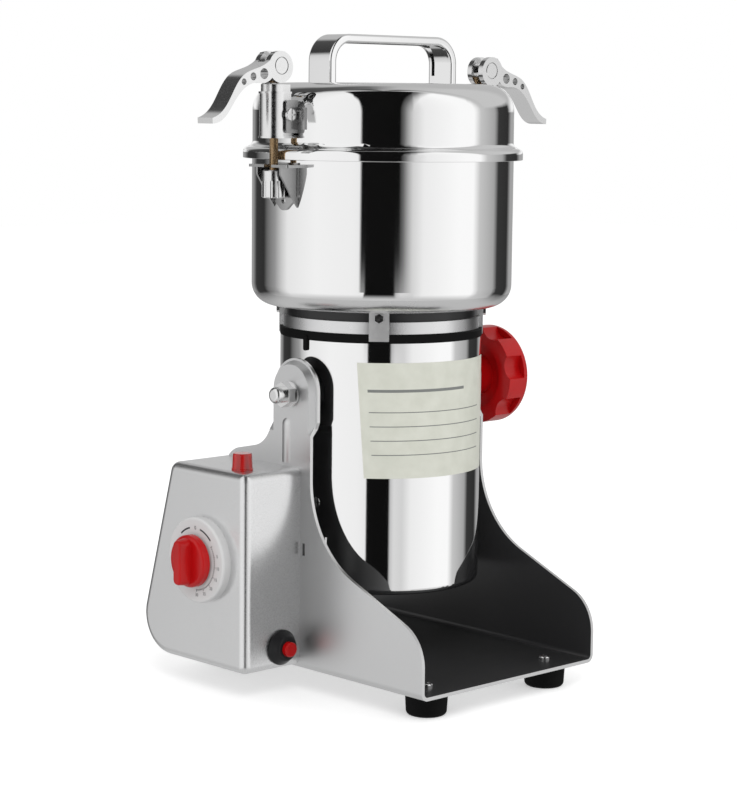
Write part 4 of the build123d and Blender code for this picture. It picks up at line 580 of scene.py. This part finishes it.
def make_dial_print():
    """Arc with a gap at the top, then ticks with plain minute numbers down the right side."""
    vertices, faces = [], []
    for start_deg, end_deg, steps in ARCS:
        dial_stroke(vertices, faces, ARC_R_IN, ARC_R_OUT, start_deg, end_deg, steps)
    for minute in range(MINUTES + 1):
        turn = minute_deg(minute)
        length = TICK_LONG if minute % 5 == 0 else TICK_SHORT
        dial_stroke(vertices, faces, TICK_R, TICK_R + length,
                    turn - TICK_HALF_DEG, turn + TICK_HALF_DEG, 1)
    add_mesh("dial_marks", vertices, faces, "dark_ink", "base")
    numbers = [dial_number("0", 0.0, ZERO_R, ZERO_H)]
    numbers += [dial_number(str(minute), minute_deg(minute), NUMBER_R, NUMBER_H)
                for minute in range(5, MINUTES + 1, 5)]
    join_as("dial_numbers", numbers, "dark_ink", "base")


def dial_number(text, clockwise_deg, radius, size):
    curve = bpy.data.curves.new("number_" + text, "FONT")
    curve.body = text
    curve.size = size
    curve.extrude = NUMBER_T
    curve.align_x = "CENTER"
    curve.align_y = "CENTER"
    made = add_object("number_" + text, curve)
    made.location = on_dial(radius, clockwise_deg, NUMBER_T)
    right, up, out = Vector((0, -1, 0)), Vector((0, 0, 1)), Vector((-1, 0, 0))
    made.rotation_euler = Matrix((right, up, out)).transposed().to_euler()
    bpy.context.view_layer.update()
    return made


def join_as(name, pieces, look, body):
    """Turn curves into one mesh piece that rides on a body."""
    depsgraph = bpy.context.evaluated_depsgraph_get()
    joined = bmesh.new()
    for piece in pieces:
        mesh = bpy.data.meshes.new_from_object(piece.evaluated_get(depsgraph))
        mesh.transform(piece.matrix_world)
        joined.from_mesh(mesh)
        bpy.data.meshes.remove(mesh)
        bpy.data.objects.remove(piece)
    mesh = bpy.data.meshes.new(name)
    joined.to_mesh(mesh)
    joined.free()
    mesh.materials.clear()
    mesh.materials.append(MATERIALS[look])
    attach(add_object(name, mesh), body)


# ================================================================ floor
FLOOR_HALF = 4.0
FLOOR_COLOUR = (0.80, 0.80, 0.80, 1)
FLOOR_GLOW = 0.42       # for the camera alone, so that the floor is white around the shadow


def make_floor():
    """Pale floor that keeps the mill's soft shadow; the camera sees it nearly white."""
    mesh = bpy.data.meshes.new("floor")
    corners = [(-FLOOR_HALF, -FLOOR_HALF, 0), (FLOOR_HALF, -FLOOR_HALF, 0),
               (FLOOR_HALF, FLOOR_HALF, 0), (-FLOOR_HALF, FLOOR_HALF, 0)]
    mesh.from_pydata(corners, [], [(0, 1, 2, 3)])
    floor = add_object("floor", mesh)
    made = bpy.data.materials.new("floor_white")
    s = Shader(made)
    diffuse = s.node("ShaderNodeBsdfDiffuse")
    diffuse.inputs["Color"].default_value = FLOOR_COLOUR
    glow = s.node("ShaderNodeEmission")
    glow.inputs["Color"].default_value = (1, 1, 1, 1)
    seen = s.node("ShaderNodeLightPath").outputs["Is Camera Ray"]
    s.link(s.math("MULTIPLY", seen, FLOOR_GLOW), glow.inputs["Strength"])
    both = s.node("ShaderNodeAddShader")
    s.link(diffuse.outputs[0], both.inputs[0])
    s.link(glow.outputs[0], both.inputs[1])
    output = s.node("ShaderNodeOutputMaterial")
    s.link(both.outputs[0], output.inputs["Surface"])
    mesh.materials.append(made)
    floor.visible_glossy = False


# ================================================================ studio
# Brightness round the mill, by the direction in degrees to the right of the camera: two large
# softboxes, and dark flats beside them.
STUDIO = [(-180, 0.40), (-158, 0.30), (-146, 0.04), (-127, 0.03), (-120, 0.16), (-108, 0.32),
          (-99, 0.62), (-91, 0.86), (-60, 0.97), (-26, 0.94), (26, 0.70), (36, 0.92), (70, 1.05),
          (86, 1.05), (94, 0.60), (114, 0.40), (121, 0.04), (142, 0.03), (152, 0.38), (180, 0.40)]
# A black bar hangs between the softboxes, up to the zenith. It narrows below eye level.
BLACK_BAR = [(-20, 1.0), (-18, 0.006), (14, 0.006), (18, 0.22), (26, 1.0)]
LOW_BAR = [(-15.5, 1.0), (-14, 0.006), (10, 0.006), (12, 0.75), (16, 1.0)]
FLOOR_GREY = (0.60, 0.60, 0.60)
BACKDROP = 0.95         # white sheet behind the mill, greyer above
BACKDROP_TOP = 0.50
# The room behind and above the mill is dark on the left and grey on the right.
REAR_ROOM = [(0.0, 0.035), (0.36, 0.09), (0.46, 0.16), (0.54, 0.50), (0.70, 0.60)]
OTHER_RAYS = (0.80, 0.80, 0.80)
WHITE = (1.0, 1.0, 1.0)


def make_world():
    """Studio seen in mirrors only; the camera sees white, and other rays see a pale grey."""
    world = bpy.data.worlds.new("studio")
    bpy.context.scene.world = world
    s = Shader(world)
    parts = s.node("ShaderNodeSeparateXYZ")
    s.link(s.node("ShaderNodeTexCoord").outputs["Generated"], parts.inputs[0])
    x, y, z = parts.outputs
    cos_a, sin_a = math.cos(CAMERA_AZIMUTH), math.sin(CAMERA_AZIMUTH)
    across = s.math("SUBTRACT", s.math("MULTIPLY", x, cos_a), s.math("MULTIPLY", y, sin_a))
    towards = s.math("ADD", s.math("MULTIPLY", x, -sin_a), s.math("MULTIPLY", y, -cos_a))

    # all four run from 0 to 1: round the mill, up, to the right, and towards the camera
    turn = s.math("ARCTAN2", across, towards)
    share = s.math("ADD", s.math("DIVIDE", turn, 2 * math.pi), 0.5)
    height = s.math("ADD", s.math("MULTIPLY", z, 0.5), 0.5)
    side = s.math("ADD", s.math("MULTIPLY", across, 0.5), 0.5)
    front = s.math("ADD", s.math("MULTIPLY", towards, 0.5), 0.5)

    walls = s.ramp(share, [((degrees + 180) / 360, value) for degrees, value in STUDIO])
    bars = []
    for bar in (BLACK_BAR, LOW_BAR):
        stops = [(0.5 + 0.5 * math.sin(math.radians(degrees)), value) for degrees, value in bar]
        bars.append(s.ramp(side, stops))
    bar = s.mix(s.ramp(height, [(0.445, 1.0), (0.465, 0.0)]), bars[0], bars[1])
    bar = s.mix(s.ramp(front, [(0.495, 1.0), (0.505, 0.0)]), bar, WHITE)
    walls = s.math("MULTIPLY", walls, bar)

    above = s.ramp(height, [(0.57, 0.0), (0.62, 1.0)])
    rear = s.math("MULTIPLY", s.ramp(front, [(0.41, 1.0), (0.44, 0.0)]), above)
    walls = s.mix(rear, walls, s.ramp(side, REAR_ROOM))

    low = s.ramp(height, [(0.50, 0.0), (0.515, 1.0), (0.90, 1.0), (0.94, 0.0)])
    sheet = s.ramp(height, [(0.54, BACKDROP), (0.60, BACKDROP_TOP), (0.92, BACKDROP_TOP)])
    behind = s.ramp(share, [(0.0, 1.0), (0.07, 1.0), (0.11, 0.0),
                            (0.89, 0.0), (0.93, 1.0), (1.0, 1.0)])
    walls = s.mix(s.math("MULTIPLY", behind, low), walls, sheet)
    studio = s.mix(s.ramp(height, [(0.0, 1.0), (0.20, 1.0), (0.36, 0.0)]), walls, FLOOR_GREY)

    path = s.node("ShaderNodeLightPath")
    plain = s.mix(path.outputs["Is Camera Ray"], OTHER_RAYS, WHITE)
    mirrored = s.math("MAXIMUM", path.outputs["Is Glossy Ray"],
                      path.outputs["Is Transmission Ray"])
    background = s.node("ShaderNodeBackground")
    s.link(s.mix(mirrored, plain, studio), background.inputs["Color"])
    output = s.node("ShaderNodeOutputWorld")
    s.link(background.outputs[0], output.inputs["Surface"])


# ================================================================ lamps and camera
LAMP_SIZE = 1.2
LAMP_AIM = Vector((0, 0, 0.18))
CLIP_START, CLIP_END = 0.01, 50.0


def make_lamp(name, place, power):
    data = bpy.data.lights.new(name, "AREA")
    data.shape = "DISK"
    data.size = LAMP_SIZE
    data.energy = power
    lamp = add_object(name, data)
    lamp.location = place
    lamp.rotation_euler = (LAMP_AIM - lamp.location).to_track_quat("-Z", "Y").to_euler()
    lamp.visible_glossy = False
    lamp.visible_camera = False


def make_camera():
    a, e, roll = CAMERA_AZIMUTH, CAMERA_ELEVATION, CAMERA_ROLL
    ahead = Vector((math.sin(a) * math.cos(e), math.cos(a) * math.cos(e), -math.sin(e)))
    right = Vector((math.cos(a), -math.sin(a), 0.0))
    up = right.cross(ahead)
    right_rolled = math.cos(roll) * right + math.sin(roll) * up
    up_rolled = -math.sin(roll) * right + math.cos(roll) * up
    data = bpy.data.cameras.new("photo_camera")
    data.sensor_fit = "AUTO"
    data.sensor_width = SENSOR_MM
    data.lens = CAMERA_FOCAL_PX * SENSOR_MM / IMAGE_HEIGHT_PX
    data.clip_start = CLIP_START
    data.clip_end = CLIP_END
    camera = add_object("photo_camera", data)
    turn = Matrix((right_rolled, up_rolled, -ahead)).transposed().to_4x4()
    place = Vector((AXIS_X, AXIS_Y, BARREL_HIGH.z)) + CAMERA_FROM_BARREL_TOP
    camera.matrix_world = Matrix.Translation(place) @ turn
    bpy.context.scene.camera = camera


# ================================================================ making
bpy.context.scene.view_settings.view_transform = "Standard"
make_camera()
make_world()
make_floor()
make_lamp("key_softbox", (-1.1, -1.3, 1.7), 14)
make_lamp("fill_softbox", (1.5, -0.6, 1.1), 6)
dress_nodes()
line_tray()
dull_bowl_bottom()
plate_rod_heads()
make_label()
make_dial_print()
